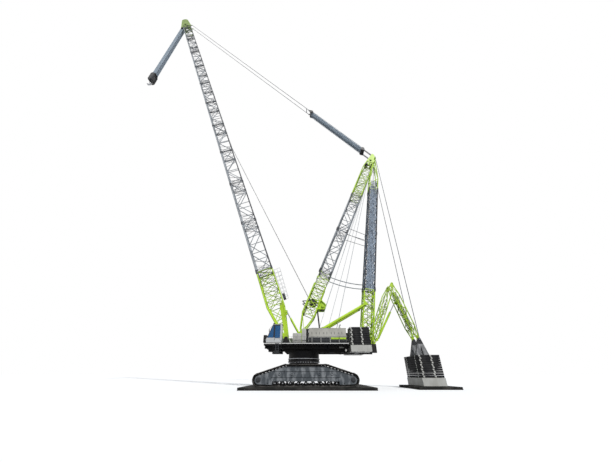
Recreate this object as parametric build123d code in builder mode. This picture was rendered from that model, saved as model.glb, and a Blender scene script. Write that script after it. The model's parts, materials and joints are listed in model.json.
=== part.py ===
"""Crawler crane with a superlift mast and a hanging derrick ballast, a 1:10 scale model in millimetres.

+X points the way the boom leans, +Y to the cab side and +Z up. The origin lies on the slewing axis, on the
underside of the timber mats that the crane is parked on.
"""

import os
from math import cos, radians, sin

from build123d import *

os.makedirs("parts", exist_ok=True)

# ---------------------------------------------------------------- driving dimensions, mm
running_gap = 0.3  # between pieces that slide or turn on each other
fit_gap = 0.05  # radial clearance of a shaft in its bore
float_gap = 5.0  # derrick ballast above its mat

# mats
mat_thickness = 35.0
crawler_mat_length = 1920.0
crawler_mat_width = 1260.0
crawler_mat_x = -60.0
ballast_mat_length = 620.0
ballast_mat_width = 900.0
ballast_mat_x = -1970.0

# crawlers
track_gauge = 860.0
track_x = -36.0
shoe_width = 200.0
shoe_length = 56.0
shoe_thickness = 14.0
belt_thickness = 12.0
belt_width = 110.0
end_wheel_x = 680.0
end_wheel_radius = 59.0
end_lift = 5.0
end_ease = 130.0
track_seat = 0.6
carrier_x = 300.0
run_top = 320.0
shoe_bite = 2.0
shoe_gap = 6.0
roller_radius = 22.0
roller_count = 11
track_frame_width = 130.0
side_plate_clear = 5.0  # track frame plates inside the belt
roller_window_length = 960.0
roller_window_height = 52.0

# car body and slewing ring
carbody_half = 250.0
carbody_bottom = 110.0
carbody_top = 360.0
cross_beam_x = 150.0
cross_beam_width = 120.0
ring_radius = 240.0
ring_bottom = 360.0
ring_split = 415.0
ring_top = 440.0

# slewing platform
deck_bottom = 580.0
deck_top = 620.0
deck_front = 625.0
deck_rear = -710.0
deck_half_width = 400.0
girder_y = 165.0
girder_width = 36.0
girder_bottom = 490.0
girder_front = 360.0
girder_rear = -1190.0
rear_plate_front = -960.0
rear_plate_rear = -1096.0

# upper ballast
stack_x = -890.0
stack_length = 320.0
stack_inner_y = 195.0
stack_outer_y = 450.0
base_height = 90.0
base_bottom = 490.0
slab_height = 33.0
slab_count = 8
slab_lug_reach = 6.0

# cab
cab_rear_x = 350.0
cab_roof_front_x = 500.0
cab_nose_x = 590.0
cab_inner_y = 240.0
cab_outer_y = 400.0
cab_floor_z = 620.0
cab_roof_z = 890.0
cab_wall = 5.0
door_rear_x = 372.0
door_front_x = 470.0
cab_pillar = 12.0
cab_sill_z = 690.0
cab_lintel_z = 874.0
knuckle_radius = 3.5
knuckle_length = 12.0

# machine houses
house_front_x = -80.0
house_rear_x = -680.0
house_top = 834.0
house_plinth = 16.0
house_roof = 10.0
house_doors = 5
panel_depth = 3.0
louvre_top = 92.0
louvre_pitch = 16.0
louvre_count = 4
house_inner_y = 215.0
house_outer_y = 395.0

# boom
boom_foot_x = 300.0
boom_foot_z = 700.0
boom_angle = 68.6
boom_depth = 300.0
boom_width = 320.0
boom_foot_length = 1330.0
boom_foot_taper = 600.0
boom_leg_length = 560.0
boom_rear_leg = 40.0
boom_front_leg = 22.0
boom_leg_thickness = 26.0
boom_head_axis = 14250.0
boom_head_length = 970.0
boom_head_nose = 130.0
insert_count = 10
inserts_per_node = 2
bays_per_insert = 3
boom_chord_radius = 13.0
boom_lace = 11.0
boom_pin_radius = 16.0
head_sheave_drop = 690.0  # below the head axis
head_sheave_rear = -205.0
head_sheave_radius = 60.0
head_pin_radius = 14.0
stay_drop = 530.0  # below the head axis
stay_rear = 225.0
head_cheek_y = 95.0
head_cheek_thickness = 14.0
head_cross_beam_rear = 140.0
nose_sheave_radius = 92.0

# hook
hook_block_top = 9440.0
hook_block_height = 470.0
hook_plate_y = 76.0
hook_plate_thickness = 12.0
hook_weight_thickness = 26.0
hook_crosshead = 64.0
rope_radius = 2.5
hoist_falls = 7
hoist_pitch = 20.0
hoist_line_radius = 2.5
guide_roller_radius = 6.0
first_roller_along = 5150.0
hoist_drum_radius = 46.0
hook_shank_radius = 18.0
hook_nut_radius = 27.0
hook_bowl_radius = 27.0
hook_horn = 13.0
hook_thickness = 34.0
hook_shank_length = 92.0

# mast
mast_foot_x = 50.0
mast_foot_z = 810.0
mast_lean = 112.74
mast_depth = 220.0
mast_width = 260.0
mast_length = 4706.0
mast_foot_section = 1180.0
mast_head_length = 1476.0
mast_chord_radius = 11.0
mast_lace = 9.0

# rear strut
strut_foot_x = -1080.0
strut_foot_z = 690.0
strut_pin_drop = 119.0  # below the mast head
strut_pin_rear = 105.0
strut_depth = 190.0
strut_width = 200.0
strut_foot_section = 900.0
strut_head_length = 1003.0
strut_chord_radius = 12.0
strut_lace = 13.0
strut_pin_radius = 11.0

# luffing tackle
pendant_y = 60.0
pendant_radius = 7.0
tackle_half_width = 92.0
tackle_block_length = 150.0
tackle_length = 2636.0

# derrick ballast and its guide
guide_foot_x = -1120.0
guide_foot_z = 560.0
guide_elbow_x = -1655.0
guide_elbow_z = 1665.0
guide_end_x = -1940.0
guide_end_z = 700.0
ballast_x = -1955.0
ballast_length = 350.0
ballast_half_width = 320.0
ballast_slab_count = 10
tray_height = 105.0
ballast_slab = 31.0
yoke_foot_half = 108.0
yoke_notch_half = 22.0
yoke_bridge = 80.0

# parts between mast and strut
mast_cheek_y = 110.0
mast_cheek_thickness = 16.0
tie_along = 2300.0
tie_strut_along = 2050.0
tie_radius = 5.0
cylinder_foot_x = -320.0
cylinder_foot_z = 860.0
cylinder_head_along = 598.0
cylinder_head_rear = -62.0
cylinder_half = 12.0
cylinder_radius = 24.0
cylinder_barrel_share = 0.9
winch_along = 560.0
winch_standoff = 80.0
winch_radius = 46.0
winch_half_width = 80.0
deck_drum_x = (-240.0, -400.0, -560.0)
deck_drum_z = 713.0
deck_drum_radius = 52.0
deck_drum_flange = 62.0
deck_drum_half_width = 100.0
tackle_pivot_rise = 34.0  # above the mast head
tackle_pin_radius = 12.0
tackle_arm_y = 78.0
block_start = 285.0
stay_lug_y = 60.0
stay_lug_thickness = 10.0
luffing_falls = 8
lug_reach = 46.0
tackle_sheave_radius = 45.0
tackle_sheave_width = 8.0
tackle_shaft_radius = 11.0
tackle_tie_radius = 11.0
tackle_tie_reach = 63.0
luffing_rope_pitch = 18.0
backstop_foot_x = 90.0
backstop_foot_z = 800.0
backstop_along = 440.0
backstop_rear = 158.0
backstop_y = 85.0
backstop_radius = 15.0
backstop_rod_radius = 8.0
backstop_barrel = 290.0
backstop_rod = 300.0
guide_outer_y = 130.0
guide_inner_y = 109.0
guide_eye_half = 10.0
guide_depth = 96.0
guide_chord_radius = 9.0
guide_lace = 8.0
guide_pin_radius = 9.0
guide_taper = 220.0
guide_lug_half = 9.0
guide_cylinder_along = 190.0
guide_cylinder_rear = 75.0
guide_eye_along = 330.0
guide_eye_rear = 75.0
guide_barrel_radius = 18.0
guide_rod_radius = 8.0
guide_barrel_length = 560.0
guide_rod_length = 560.0
ballast_pin_drop = 66.0  # below the mast head
ballast_pin_rear = 90.0
ballast_pendant_y = 152.0
ballast_pendant_radius = 6.0

# ---------------------------------------------------------------- shared places
ground_top = mat_thickness
boom_foot_pin = Vector(boom_foot_x, 0, boom_foot_z)
mast_foot_pin = Vector(mast_foot_x, 0, mast_foot_z)


def leaning(origin, angle):
    """A frame whose local x runs along a leaning member and whose local y points to its rear."""
    return Plane(origin=origin, x_dir=(cos(radians(angle)), 0, sin(radians(angle))), z_dir=(0, -1, 0))


def at(frame, along, rear, side):
    """The point of a leaning frame at a distance along it, to its rear and to its left side."""
    return frame.origin + frame.x_dir * along + frame.y_dir * rear + Vector(0, side, 0)


boom_frame = leaning(boom_foot_pin, boom_angle)
mast_frame = leaning(mast_foot_pin, mast_lean)
strut_foot_pin = Vector(strut_foot_x, 0, strut_foot_z)
strut_head_pin = at(mast_frame, mast_length - strut_pin_drop, strut_pin_rear, 0)
strut_line = strut_head_pin - strut_foot_pin
strut_frame = Plane(origin=strut_foot_pin, x_dir=strut_line, z_dir=(0, -1, 0))
boom_head_start = boom_head_axis - boom_head_length
head_sheave_along = boom_head_axis - head_sheave_drop
stay_along = boom_head_axis - stay_drop
tackle_pivot_along = mast_length + tackle_pivot_rise
ballast_pin_along = mast_length - ballast_pin_drop


# ---------------------------------------------------------------- shared forms
def tube(start, end, radius):
    """A round bar between two points."""
    with BuildPart() as bar:
        with BuildSketch(Plane(origin=start, z_dir=end - start)):
            Circle(radius)
        extrude(amount=(end - start).length)
    return bar.part


def beam(start, end, width, height):
    """A square-edged bar between two points, its height in the vertical plane."""
    line = end - start
    side = Vector(0, 1, 0) if abs(line.Y) < 0.9 * line.length else Vector(1, 0, 0)
    with BuildPart() as bar:
        with BuildSketch(Plane(origin=start, x_dir=side.cross(line).cross(line), z_dir=line)):
            Rectangle(width, height)
        extrude(amount=line.length)
    return bar.part


def straight_runs(points):
    """The end points of each straight run of a broken line."""
    runs = [[points[0], points[1]]]
    for before, here, after in zip(points, points[1:], points[2:]):
        if (here - before).cross(after - here).length < 1.0:
            runs[-1][1] = after
        else:
            runs.append([here, after])
    return runs


def lattice(frame, stations, chord, lace, inset, open_bays=()):
    """The bars of a four-chord lattice. Each station is (along, front, rear, half width).

    An open bay has lacing on its two sides only, so that something can pass between its legs.
    """
    corners = [
        [
            at(frame, along, front, half),
            at(frame, along, front, -half),
            at(frame, along, rear, -half),
            at(frame, along, rear, half),
        ]
        for along, front, rear, half in stations
    ]
    last = len(stations) - 1
    bars = []
    for corner in range(4):
        for start, end in straight_runs([station[corner] for station in corners]):
            bars.append(tube(start, end, chord))
    inner = list(corners)
    for station, step in ((0, 1), (last, -1)):
        near, far = corners[station], corners[station + step]
        inner[station] = [near[index] + (far[index] - near[index]).normalized() * inset for index in range(4)]
        for index in range(4):
            if min(station, station + step) in open_bays and index % 2 == 0:
                continue
            bars.append(beam(inner[station][index], inner[station][(index + 1) % 4], lace, lace))
    for station in range(last):
        for index in range(4):
            if station in open_bays and index % 2 == 0:
                continue
            other = (index + 1) % 4
            low, high = (index, other) if (station + index) % 2 else (other, index)
            bars.append(beam(inner[station][low], inner[station + 1][high], lace, lace))
    return bars


def straight_stations(start, end, count, depth, width):
    """Even lattice stations along a straight stretch."""
    step = (end - start) / count
    return [(start + step * index, -depth / 2, depth / 2, width / 2) for index in range(count + 1)]


def save(builder, name):
    """Label a finished piece and write it out."""
    builder.part.label = name
    export_step(builder.part, f"parts/{name}.step")


# ---------------------------------------------------------------- mats
with BuildPart() as crawler_mat:
    with Locations((crawler_mat_x, 0, mat_thickness / 2)):
        Box(crawler_mat_length, crawler_mat_width, mat_thickness)
save(crawler_mat, "crawler_mat")

with BuildPart() as ballast_mat:
    with Locations((ballast_mat_x, 0, mat_thickness / 2)):
        Box(ballast_mat_length, ballast_mat_width, mat_thickness)
save(ballast_mat, "ballast_mat")

# ---------------------------------------------------------------- crawlers
shoe_stand = shoe_thickness - shoe_bite
run_low_z = ground_top + track_seat + shoe_stand + belt_thickness + end_wheel_radius
end_wheel_z = run_low_z + end_lift
carrier_z = run_top - shoe_stand - belt_thickness - end_wheel_radius
frame_inset = 2 * roller_radius + 2 * running_gap


def run_outline(grow):
    """The loop that the track's inner face follows, grown outwards by a distance."""
    wheels = []
    for end in (1, -1):
        wheels.append((track_x + end * end_wheel_x, end_wheel_z))
        wheels.append((track_x + end * (end_wheel_x - end_ease), run_low_z))
        wheels.append((track_x + end * carrier_x, carrier_z))
    with BuildSketch(Plane.XZ) as outline:
        with Locations(*wheels):
            Circle(end_wheel_radius + grow)
        make_hull()
    return outline.sketch


wheel_half_width = belt_width / 2 - 8.0
side_plate_half = 5.0
side_plate_y = belt_width / 2 + 2.0 + side_plate_half
shoe_loop = run_outline(belt_thickness).face().outer_wire()
shoe_count = round(shoe_loop.length / (shoe_length + shoe_gap))
for side, side_name in ((1, "left"), (-1, "right")):
    middle = Vector(0, side * track_gauge / 2, 0)
    shoe_planes = []
    for index in range(shoe_count):
        spot = (index + 0.5) / shoe_count
        shoe_planes.append(
            Plane(origin=middle + shoe_loop.position_at(spot), x_dir=shoe_loop.tangent_at(spot), z_dir=(0, -1, 0))
        )
    with BuildPart() as track:
        with BuildSketch(Plane.XZ.offset(-middle.Y)):
            add(run_outline(belt_thickness))
            add(run_outline(0), mode=Mode.SUBTRACT)
        extrude(amount=belt_width / 2, both=True)
        with BuildSketch(*shoe_planes):
            with Locations((0, shoe_bite - shoe_thickness / 2)):
                Rectangle(shoe_length, shoe_thickness)
        extrude(amount=shoe_width / 2, both=True)
    save(track, f"track_{side_name}")

    with BuildPart() as track_frame:
        with BuildSketch(Plane.XZ.offset(-middle.Y)):
            add(run_outline(-frame_inset))
            with Locations(*[(track_x + end * end_wheel_x, end_wheel_z) for end in (1, -1)]):
                Circle(end_wheel_radius + 5.0, mode=Mode.SUBTRACT)
        extrude(amount=track_frame_width / 2, both=True)
        for inout in (1, -1):
            arm_y = middle.Y + inout * (wheel_half_width + running_gap + 6.0)
            for end in (1, -1):
                axle_x = track_x + end * end_wheel_x
                with BuildSketch(Plane.XZ.offset(-arm_y)):
                    with Locations((axle_x, end_wheel_z), (axle_x - end * end_ease, end_wheel_z)):
                        Circle(30)
                    make_hull()
                extrude(amount=6, both=True)
            with BuildSketch(Plane.XZ.offset(-middle.Y - inout * side_plate_y)):
                add(run_outline(-side_plate_clear))
                with Locations((track_x, run_low_z - end_wheel_radius)):
                    Rectangle(roller_window_length, 2 * roller_window_height, mode=Mode.SUBTRACT)
                with Locations(*[(track_x + end * end_wheel_x, end_wheel_z) for end in (1, -1)]):
                    Circle(12, mode=Mode.SUBTRACT)
            extrude(amount=side_plate_half, both=True)
    save(track_frame, f"track_frame_{side_name}")

    roller_z = run_low_z - end_wheel_radius + running_gap + roller_radius
    roller_span = 2 * (end_wheel_x - end_ease)
    with BuildPart() as track_wheels:
        with BuildSketch(Plane.XZ.offset(-middle.Y)):
            with Locations(*[(track_x + end * end_wheel_x, end_wheel_z) for end in (1, -1)]):
                Circle(end_wheel_radius - running_gap)
            for index in range(roller_count):
                with Locations((track_x + roller_span * (index / (roller_count - 1) - 0.5), roller_z)):
                    Circle(roller_radius)
            for index in range(3):
                roller_top = carrier_z + end_wheel_radius - running_gap
                with Locations((track_x + carrier_x * (index - 1), roller_top - roller_radius)):
                    Circle(roller_radius)
        extrude(amount=wheel_half_width, both=True)
    save(track_wheels, f"track_wheels_{side_name}")

# ---------------------------------------------------------------- car body and slewing ring
frame_inner = track_gauge / 2 - side_plate_y - side_plate_half
with BuildPart() as carbody:
    with BuildSketch(Plane.XY.offset(carbody_bottom)):
        RectangleRounded(2 * carbody_half, 2 * carbody_half, 60)
    extrude(amount=carbody_top - carbody_bottom - 60)
    with BuildSketch(Plane.XY.offset(carbody_top - 60)):
        Circle(ring_radius)
    extrude(amount=60)
    with BuildSketch(Plane.XY.offset(carbody_bottom + 20)):
        with GridLocations(2 * cross_beam_x, 0, 2, 1):
            Rectangle(cross_beam_width, 2 * frame_inner)
    extrude(amount=140)
save(carbody, "carbody")

with BuildPart() as slew_ring:
    with BuildSketch(Plane.XY.offset(ring_bottom)):
        Circle(ring_radius + 12)
        Circle(ring_radius - 40, mode=Mode.SUBTRACT)
    extrude(amount=ring_split - ring_bottom)
save(slew_ring, "slew_ring")

# ---------------------------------------------------------------- slewing platform
boom_eye_y = boom_width / 2 - 15.0
boom_eye_width = 46.0
cheek_gap = 2.0
cheek_thickness = 14.0
with BuildPart() as platform:
    with BuildSketch(Plane.XY.offset(ring_split + running_gap)):
        Circle(ring_radius + 12)
        Circle(ring_radius - 40, mode=Mode.SUBTRACT)
    extrude(amount=girder_bottom - ring_split - running_gap)
    for side in (1, -1):
        with BuildSketch(Plane.XZ.offset(-side * girder_y)):
            with BuildLine():
                Polyline(
                    (girder_front, deck_top),
                    (girder_rear, deck_top),
                    (girder_rear, girder_bottom),
                    (girder_front - 60, girder_bottom),
                    (girder_front, girder_bottom + 60),
                    close=True,
                )
            make_face()
        extrude(amount=girder_width / 2, both=True)
    with BuildSketch(Plane.XY.offset(girder_bottom)):
        Circle(ring_radius + 12)
        with Locations(((stack_x), 0)):
            Rectangle(60, 2 * stack_inner_y)
    extrude(amount=24)
    with BuildSketch(Plane.XY.offset(deck_bottom)):
        with Locations(((deck_front + deck_rear) / 2, 0)):
            Rectangle(deck_front - deck_rear, 2 * deck_half_width)
        with Locations(((girder_front + deck_front) / 2 + 5, 0)):
            Rectangle(deck_front - girder_front + 10, 2 * cab_inner_y - 60, mode=Mode.SUBTRACT)
    extrude(amount=deck_top - deck_bottom)
    for side in (1, -1):
        for inout in (1, -1):
            cheek_y = side * boom_eye_y + inout * (boom_eye_width / 2 + cheek_gap + cheek_thickness / 2)
            with BuildSketch(Plane.XZ.offset(-cheek_y)):
                with BuildLine():
                    Polyline(
                        (boom_foot_x - 90, deck_top - 10),
                        (boom_foot_x + 60, deck_top - 10),
                        (boom_foot_x + 34, boom_foot_z),
                        (boom_foot_x - 34, boom_foot_z),
                        close=True,
                    )
                make_face()
                with Locations((boom_foot_x, boom_foot_z)):
                    Circle(34)
            extrude(amount=cheek_thickness / 2, both=True)
        with BuildSketch(Plane.XZ.offset(-side * boom_eye_y)):
            with Locations((boom_foot_x, boom_foot_z)):
                Circle(boom_pin_radius - fit_gap)
        extrude(amount=boom_eye_width / 2 + cheek_gap + 2, both=True)
    with BuildSketch(Plane.XZ):
        seat_low, seat_high = (at(strut_frame, 0, edge * (strut_depth / 2 + 16), 0) for edge in (1, -1))
        with BuildLine():
            Polyline(
                (seat_low.X, deck_top - 10),
                (seat_high.X, deck_top - 10),
                (seat_high.X, seat_high.Z),
                (seat_low.X, seat_low.Z),
                close=True,
            )
        make_face()
    extrude(amount=strut_width / 2 + 16, both=True)
    with BuildSketch(Plane.XY.offset(deck_top - 30)):
        with Locations(((rear_plate_front + rear_plate_rear) / 2, 0)):
            Rectangle(rear_plate_front - rear_plate_rear, 2 * girder_y)
    extrude(amount=30)
    for side in (1, -1):
        add(
            tube(
                Vector(guide_foot_x, side * (girder_y - girder_width / 2), guide_foot_z),
                Vector(guide_foot_x, side * (guide_outer_y - guide_eye_half), guide_foot_z),
                guide_pin_radius - fit_gap,
            )
        )
save(platform, "platform")

with BuildPart() as mast_bracket:
    for side in (1, -1):
        with BuildSketch(Plane.XZ.offset(-side * mast_width / 2)):
            with BuildLine():
                Polyline(
                    (mast_foot_x - 130, deck_top),
                    (mast_foot_x + 70, deck_top),
                    (mast_foot_x + 26, mast_foot_z),
                    (mast_foot_x - 26, mast_foot_z),
                    close=True,
                )
            make_face()
            with Locations((mast_foot_x, mast_foot_z)):
                Circle(26)
        extrude(amount=20, both=True)
    for side in (1, -1):
        for inout in (1, -1):
            with BuildSketch(Plane.XZ.offset(-side * backstop_y - inout * (9 + running_gap + 5))):
                with BuildLine():
                    Polyline(
                        (backstop_foot_x - 60, deck_top),
                        (backstop_foot_x + 60, deck_top),
                        (backstop_foot_x + 22, backstop_foot_z),
                        (backstop_foot_x - 22, backstop_foot_z),
                        close=True,
                    )
                make_face()
                with Locations((backstop_foot_x, backstop_foot_z)):
                    Circle(22)
            extrude(amount=5, both=True)
save(mast_bracket, "mast_bracket")

# ---------------------------------------------------------------- upper ballast
stack_y = (stack_inner_y + stack_outer_y) / 2
stack_width = stack_outer_y - stack_inner_y
with BuildPart() as ballast_bases:
    for side in (1, -1):
        with Locations((stack_x, side * stack_y, base_bottom + base_height / 2)):
            Box(stack_length, stack_width, base_height)
save(ballast_bases, "ballast_bases")
with BuildPart() as upper_ballast:
    for side in (1, -1):
        for index in range(slab_count):
            bottom = base_bottom + base_height + index * slab_height
            with Locations((stack_x, side * stack_y, bottom + slab_height / 2)):
                Box(stack_length - 6 * (index % 2), stack_width - 6 * (index % 2), slab_height)
            lug_y = side * (stack_outer_y - 8 + (8 + slab_lug_reach) / 2)
            with Locations((stack_x, lug_y, bottom + slab_height / 2)):
                with GridLocations(stack_length * 0.56, 0, 2, 1):
                    Box(34, 8 + slab_lug_reach, slab_height - 12)
save(upper_ballast, "upper_ballast")

# ---------------------------------------------------------------- machine houses
house_length = house_front_x - house_rear_x
house_width = house_outer_y - house_inner_y
house_x = (house_front_x + house_rear_x) / 2
for side, side_name in ((1, "left"), (-1, "right")):
    house_y = side * (house_inner_y + house_outer_y) / 2
    with BuildPart() as house:
        with BuildSketch(Plane.XY.offset(deck_top)):
            with Locations((house_x, house_y)):
                Rectangle(house_length - 16, house_width - 16)
        extrude(amount=house_plinth)
        with BuildSketch(Plane.XY.offset(deck_top + house_plinth)):
            with Locations((house_x, house_y)):
                RectangleRounded(house_length, house_width - 2 * panel_depth, 12)
        extrude(amount=house_top - house_roof - deck_top - house_plinth)
        with BuildSketch(Plane.XY.offset(house_top - house_roof)):
            with Locations((house_x, house_y)):
                RectangleRounded(house_length + 8, house_width, 14)
        extrude(amount=house_roof)
        door_low = deck_top + louvre_top
        door_high = house_top - house_roof - 8
        with BuildSketch(Plane.XZ.offset(-side * (house_outer_y - panel_depth))):
            with Locations((house_x, (door_low + door_high) / 2)):
                with GridLocations(house_length / house_doors, 0, house_doors, 1):
                    RectangleRounded(house_length / house_doors - 10, door_high - door_low, 6)
        extrude(amount=-side * panel_depth)
        with BuildSketch(Plane.XZ.offset(-side * (house_outer_y - panel_depth))):
            with Locations((house_x, deck_top + (house_plinth + louvre_top) / 2)):
                with GridLocations(house_length / house_doors, louvre_pitch, house_doors, louvre_count):
                    Rectangle(house_length / house_doors - 24, louvre_pitch / 2)
        extrude(amount=-side * panel_depth)
        with Locations((house_rear_x + 90, house_y, house_top + 14)):
            Cylinder(16, 28)
    save(house, f"machine_house_{side_name}")

# ---------------------------------------------------------------- cab
cab_mid_y = (cab_inner_y + cab_outer_y) / 2
cab_width = cab_outer_y - cab_inner_y


def cab_profile(inset):
    """The cab's side outline, drawn in from its skin by a distance."""
    with BuildSketch(Plane.XZ) as profile:
        with BuildLine():
            Polyline(
                (cab_rear_x, cab_floor_z),
                (cab_nose_x, cab_floor_z),
                (cab_nose_x + 10, cab_floor_z + 40),
                (cab_roof_front_x, cab_roof_z),
                (cab_rear_x, cab_roof_z),
                close=True,
            )
        make_face()
        if inset:
            offset(amount=-inset, kind=Kind.INTERSECTION)
    return profile.sketch


door_bottom = cab_floor_z + 12.0
door_top = cab_roof_z - 14.0
with BuildPart() as cab_shell:
    with BuildSketch(Plane.XZ.offset(-cab_mid_y)):
        add(cab_profile(0))
    extrude(amount=cab_width / 2, both=True)
    with BuildSketch(Plane.XZ.offset(-cab_mid_y)):
        add(cab_profile(cab_wall))
    extrude(amount=cab_width / 2 - cab_wall, both=True, mode=Mode.SUBTRACT)
    with BuildSketch(Plane.XZ.offset(-cab_outer_y)):
        with BuildLine():
            Polyline(
                (door_rear_x, door_bottom),
                (door_front_x, door_bottom),
                (door_front_x, door_top),
                (door_rear_x, door_top),
                close=True,
            )
        make_face()
    extrude(amount=cab_wall, mode=Mode.SUBTRACT)
    with BuildSketch(Plane.YZ.offset(cab_roof_front_x)):
        with Locations((cab_mid_y, (cab_sill_z + cab_lintel_z) / 2)):
            Rectangle(cab_width - 2 * cab_pillar, cab_lintel_z - cab_sill_z)
    extrude(amount=200, mode=Mode.SUBTRACT)
    for side in (1, -1):
        with BuildSketch(Plane.XZ.offset(-cab_mid_y)):
            add(cab_profile(cab_wall + cab_pillar / 2))
            with BuildLine():
                Polyline(
                    (cab_rear_x, cab_floor_z),
                    (cab_nose_x + 20, cab_floor_z),
                    (cab_nose_x + 20, cab_sill_z),
                    (cab_rear_x, cab_sill_z),
                    close=True,
                )
            make_face(mode=Mode.SUBTRACT)
            with Locations((cab_rear_x, (cab_floor_z + cab_roof_z) / 2)):
                rear_pillar = door_front_x + cab_pillar if side == 1 else cab_rear_x + 3 * cab_pillar
                Rectangle(2 * (rear_pillar - cab_rear_x), cab_roof_z - cab_floor_z, mode=Mode.SUBTRACT)
        extrude(amount=-side * (cab_width / 2 + 1), mode=Mode.SUBTRACT)
    for hinge_z in (door_bottom + 40, door_top - 40):
        for inout in (1, -1):
            with BuildSketch(Plane.XY.offset(hinge_z + inout * (knuckle_length / 2 + running_gap))):
                with Locations((door_rear_x, cab_outer_y + knuckle_radius)):
                    Circle(knuckle_radius)
                with Locations((door_rear_x - 5, cab_outer_y + 1)):
                    Rectangle(10, 2)
            extrude(amount=inout * knuckle_length)
save(cab_shell, "cab_shell")

with BuildPart() as cab_door:
    with BuildSketch(Plane.XZ.offset(-cab_outer_y)):
        with Locations(((door_rear_x + door_front_x) / 2, (door_bottom + door_top) / 2)):
            Rectangle(door_front_x - door_rear_x - 2, door_top - door_bottom - 2)
            with Locations((0, (cab_sill_z + cab_lintel_z - 8) / 2 - (door_bottom + door_top) / 2)):
                Rectangle(
                    door_front_x - door_rear_x - 2 * cab_pillar, cab_lintel_z - 8 - cab_sill_z, mode=Mode.SUBTRACT
                )
    extrude(amount=cab_wall)
    for hinge_z in (door_bottom + 40, door_top - 40):
        with BuildSketch(Plane.XY.offset(hinge_z - knuckle_length / 2)):
            with Locations((door_rear_x, cab_outer_y + knuckle_radius)):
                Circle(knuckle_radius)
            with Locations((door_rear_x + 5, cab_outer_y + 1)):
                Rectangle(10, 2)
        extrude(amount=knuckle_length)
save(cab_door, "cab_door")

with BuildPart() as cab_seat:
    with Locations((cab_rear_x + 70, cab_mid_y, cab_floor_z + cab_wall + 20)):
        Cylinder(16, 40)
    with BuildSketch(Plane.XZ.offset(-cab_mid_y)):
        with BuildLine():
            Polyline(
                (cab_rear_x + 46, cab_floor_z + cab_wall + 36),
                (cab_rear_x + 96, cab_floor_z + cab_wall + 36),
                (cab_rear_x + 98, cab_floor_z + cab_wall + 50),
                (cab_rear_x + 58, cab_floor_z + cab_wall + 52),
                (cab_rear_x + 48, cab_floor_z + cab_wall + 122),
                (cab_rear_x + 36, cab_floor_z + cab_wall + 122),
                close=True,
            )
        make_face()
    extrude(amount=25, both=True)
save(cab_seat, "cab_seat")

# ---------------------------------------------------------------- boom
with BuildPart() as boom_foot:
    stations = [
        (70.0, -40.0, 40.0, boom_eye_y),
        (330.0, -95.0, 95.0, (boom_eye_y + boom_width / 2) / 2),
        (boom_foot_taper, -boom_depth / 2, boom_depth / 2, boom_width / 2),
        ((boom_foot_taper + boom_foot_length) / 2, -boom_depth / 2, boom_depth / 2, boom_width / 2),
        (boom_foot_length, -boom_depth / 2, boom_depth / 2, boom_width / 2),
    ]
    add(lattice(boom_frame, stations, boom_chord_radius, boom_lace, 15))
    for side in (1, -1):
        with BuildSketch(boom_frame.offset(-side * boom_eye_y)):
            with BuildLine():
                Polyline((0, -34), (90, -54), (90, 54), (0, 34), close=True)
            make_face()
            Circle(34)
            Circle(boom_pin_radius, mode=Mode.SUBTRACT)
        extrude(amount=boom_eye_width / 2, both=True)
        for pin_end, far_end, leg in (
            ((20, 8), (boom_leg_length, boom_depth / 2 - boom_rear_leg), boom_rear_leg),
            ((20, -14), (boom_leg_length, -boom_depth / 2 + boom_front_leg), boom_front_leg),
        ):
            with BuildSketch(boom_frame.offset(-side * (boom_eye_y + 3))):
                with Locations(pin_end):
                    Circle(boom_front_leg)
                with Locations(far_end):
                    Circle(leg)
                make_hull()
                Circle(boom_pin_radius + 4, mode=Mode.SUBTRACT)
            extrude(amount=boom_leg_thickness / 2, both=True)
    rear_chord = boom_depth / 2 - (boom_foot_taper - backstop_along) / (boom_foot_taper - 330.0) * 55.0
    add(
        tube(
            at(boom_frame, backstop_along, rear_chord, boom_eye_y),
            at(boom_frame, backstop_along, rear_chord, -boom_eye_y),
            boom_chord_radius - 2,
        )
    )
    for side in (1, -1):
        for inout in (1, -1):
            lug_y = side * backstop_y + inout * (8 + running_gap + 4)
            with BuildSketch(boom_frame.offset(-lug_y)):
                with BuildLine():
                    Polyline(
                        (backstop_along - 30, rear_chord),
                        (backstop_along + 30, rear_chord),
                        (backstop_along + 16, backstop_rear),
                        (backstop_along - 16, backstop_rear),
                        close=True,
                    )
                make_face()
                with Locations((backstop_along, backstop_rear)):
                    Circle(16)
            extrude(amount=4, both=True)
save(boom_foot, "boom_foot")

insert_length = (boom_head_start - boom_foot_length) / insert_count
for node in range(insert_count // inserts_per_node):
    start = boom_foot_length + node * inserts_per_node * insert_length
    end = start + inserts_per_node * insert_length
    stations = straight_stations(start, end, inserts_per_node * bays_per_insert, boom_depth, boom_width)
    with BuildPart() as boom_insert:
        add(lattice(boom_frame, stations, boom_chord_radius, boom_lace, 15))
    save(boom_insert, f"boom_insert_{node + 1}")

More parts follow.
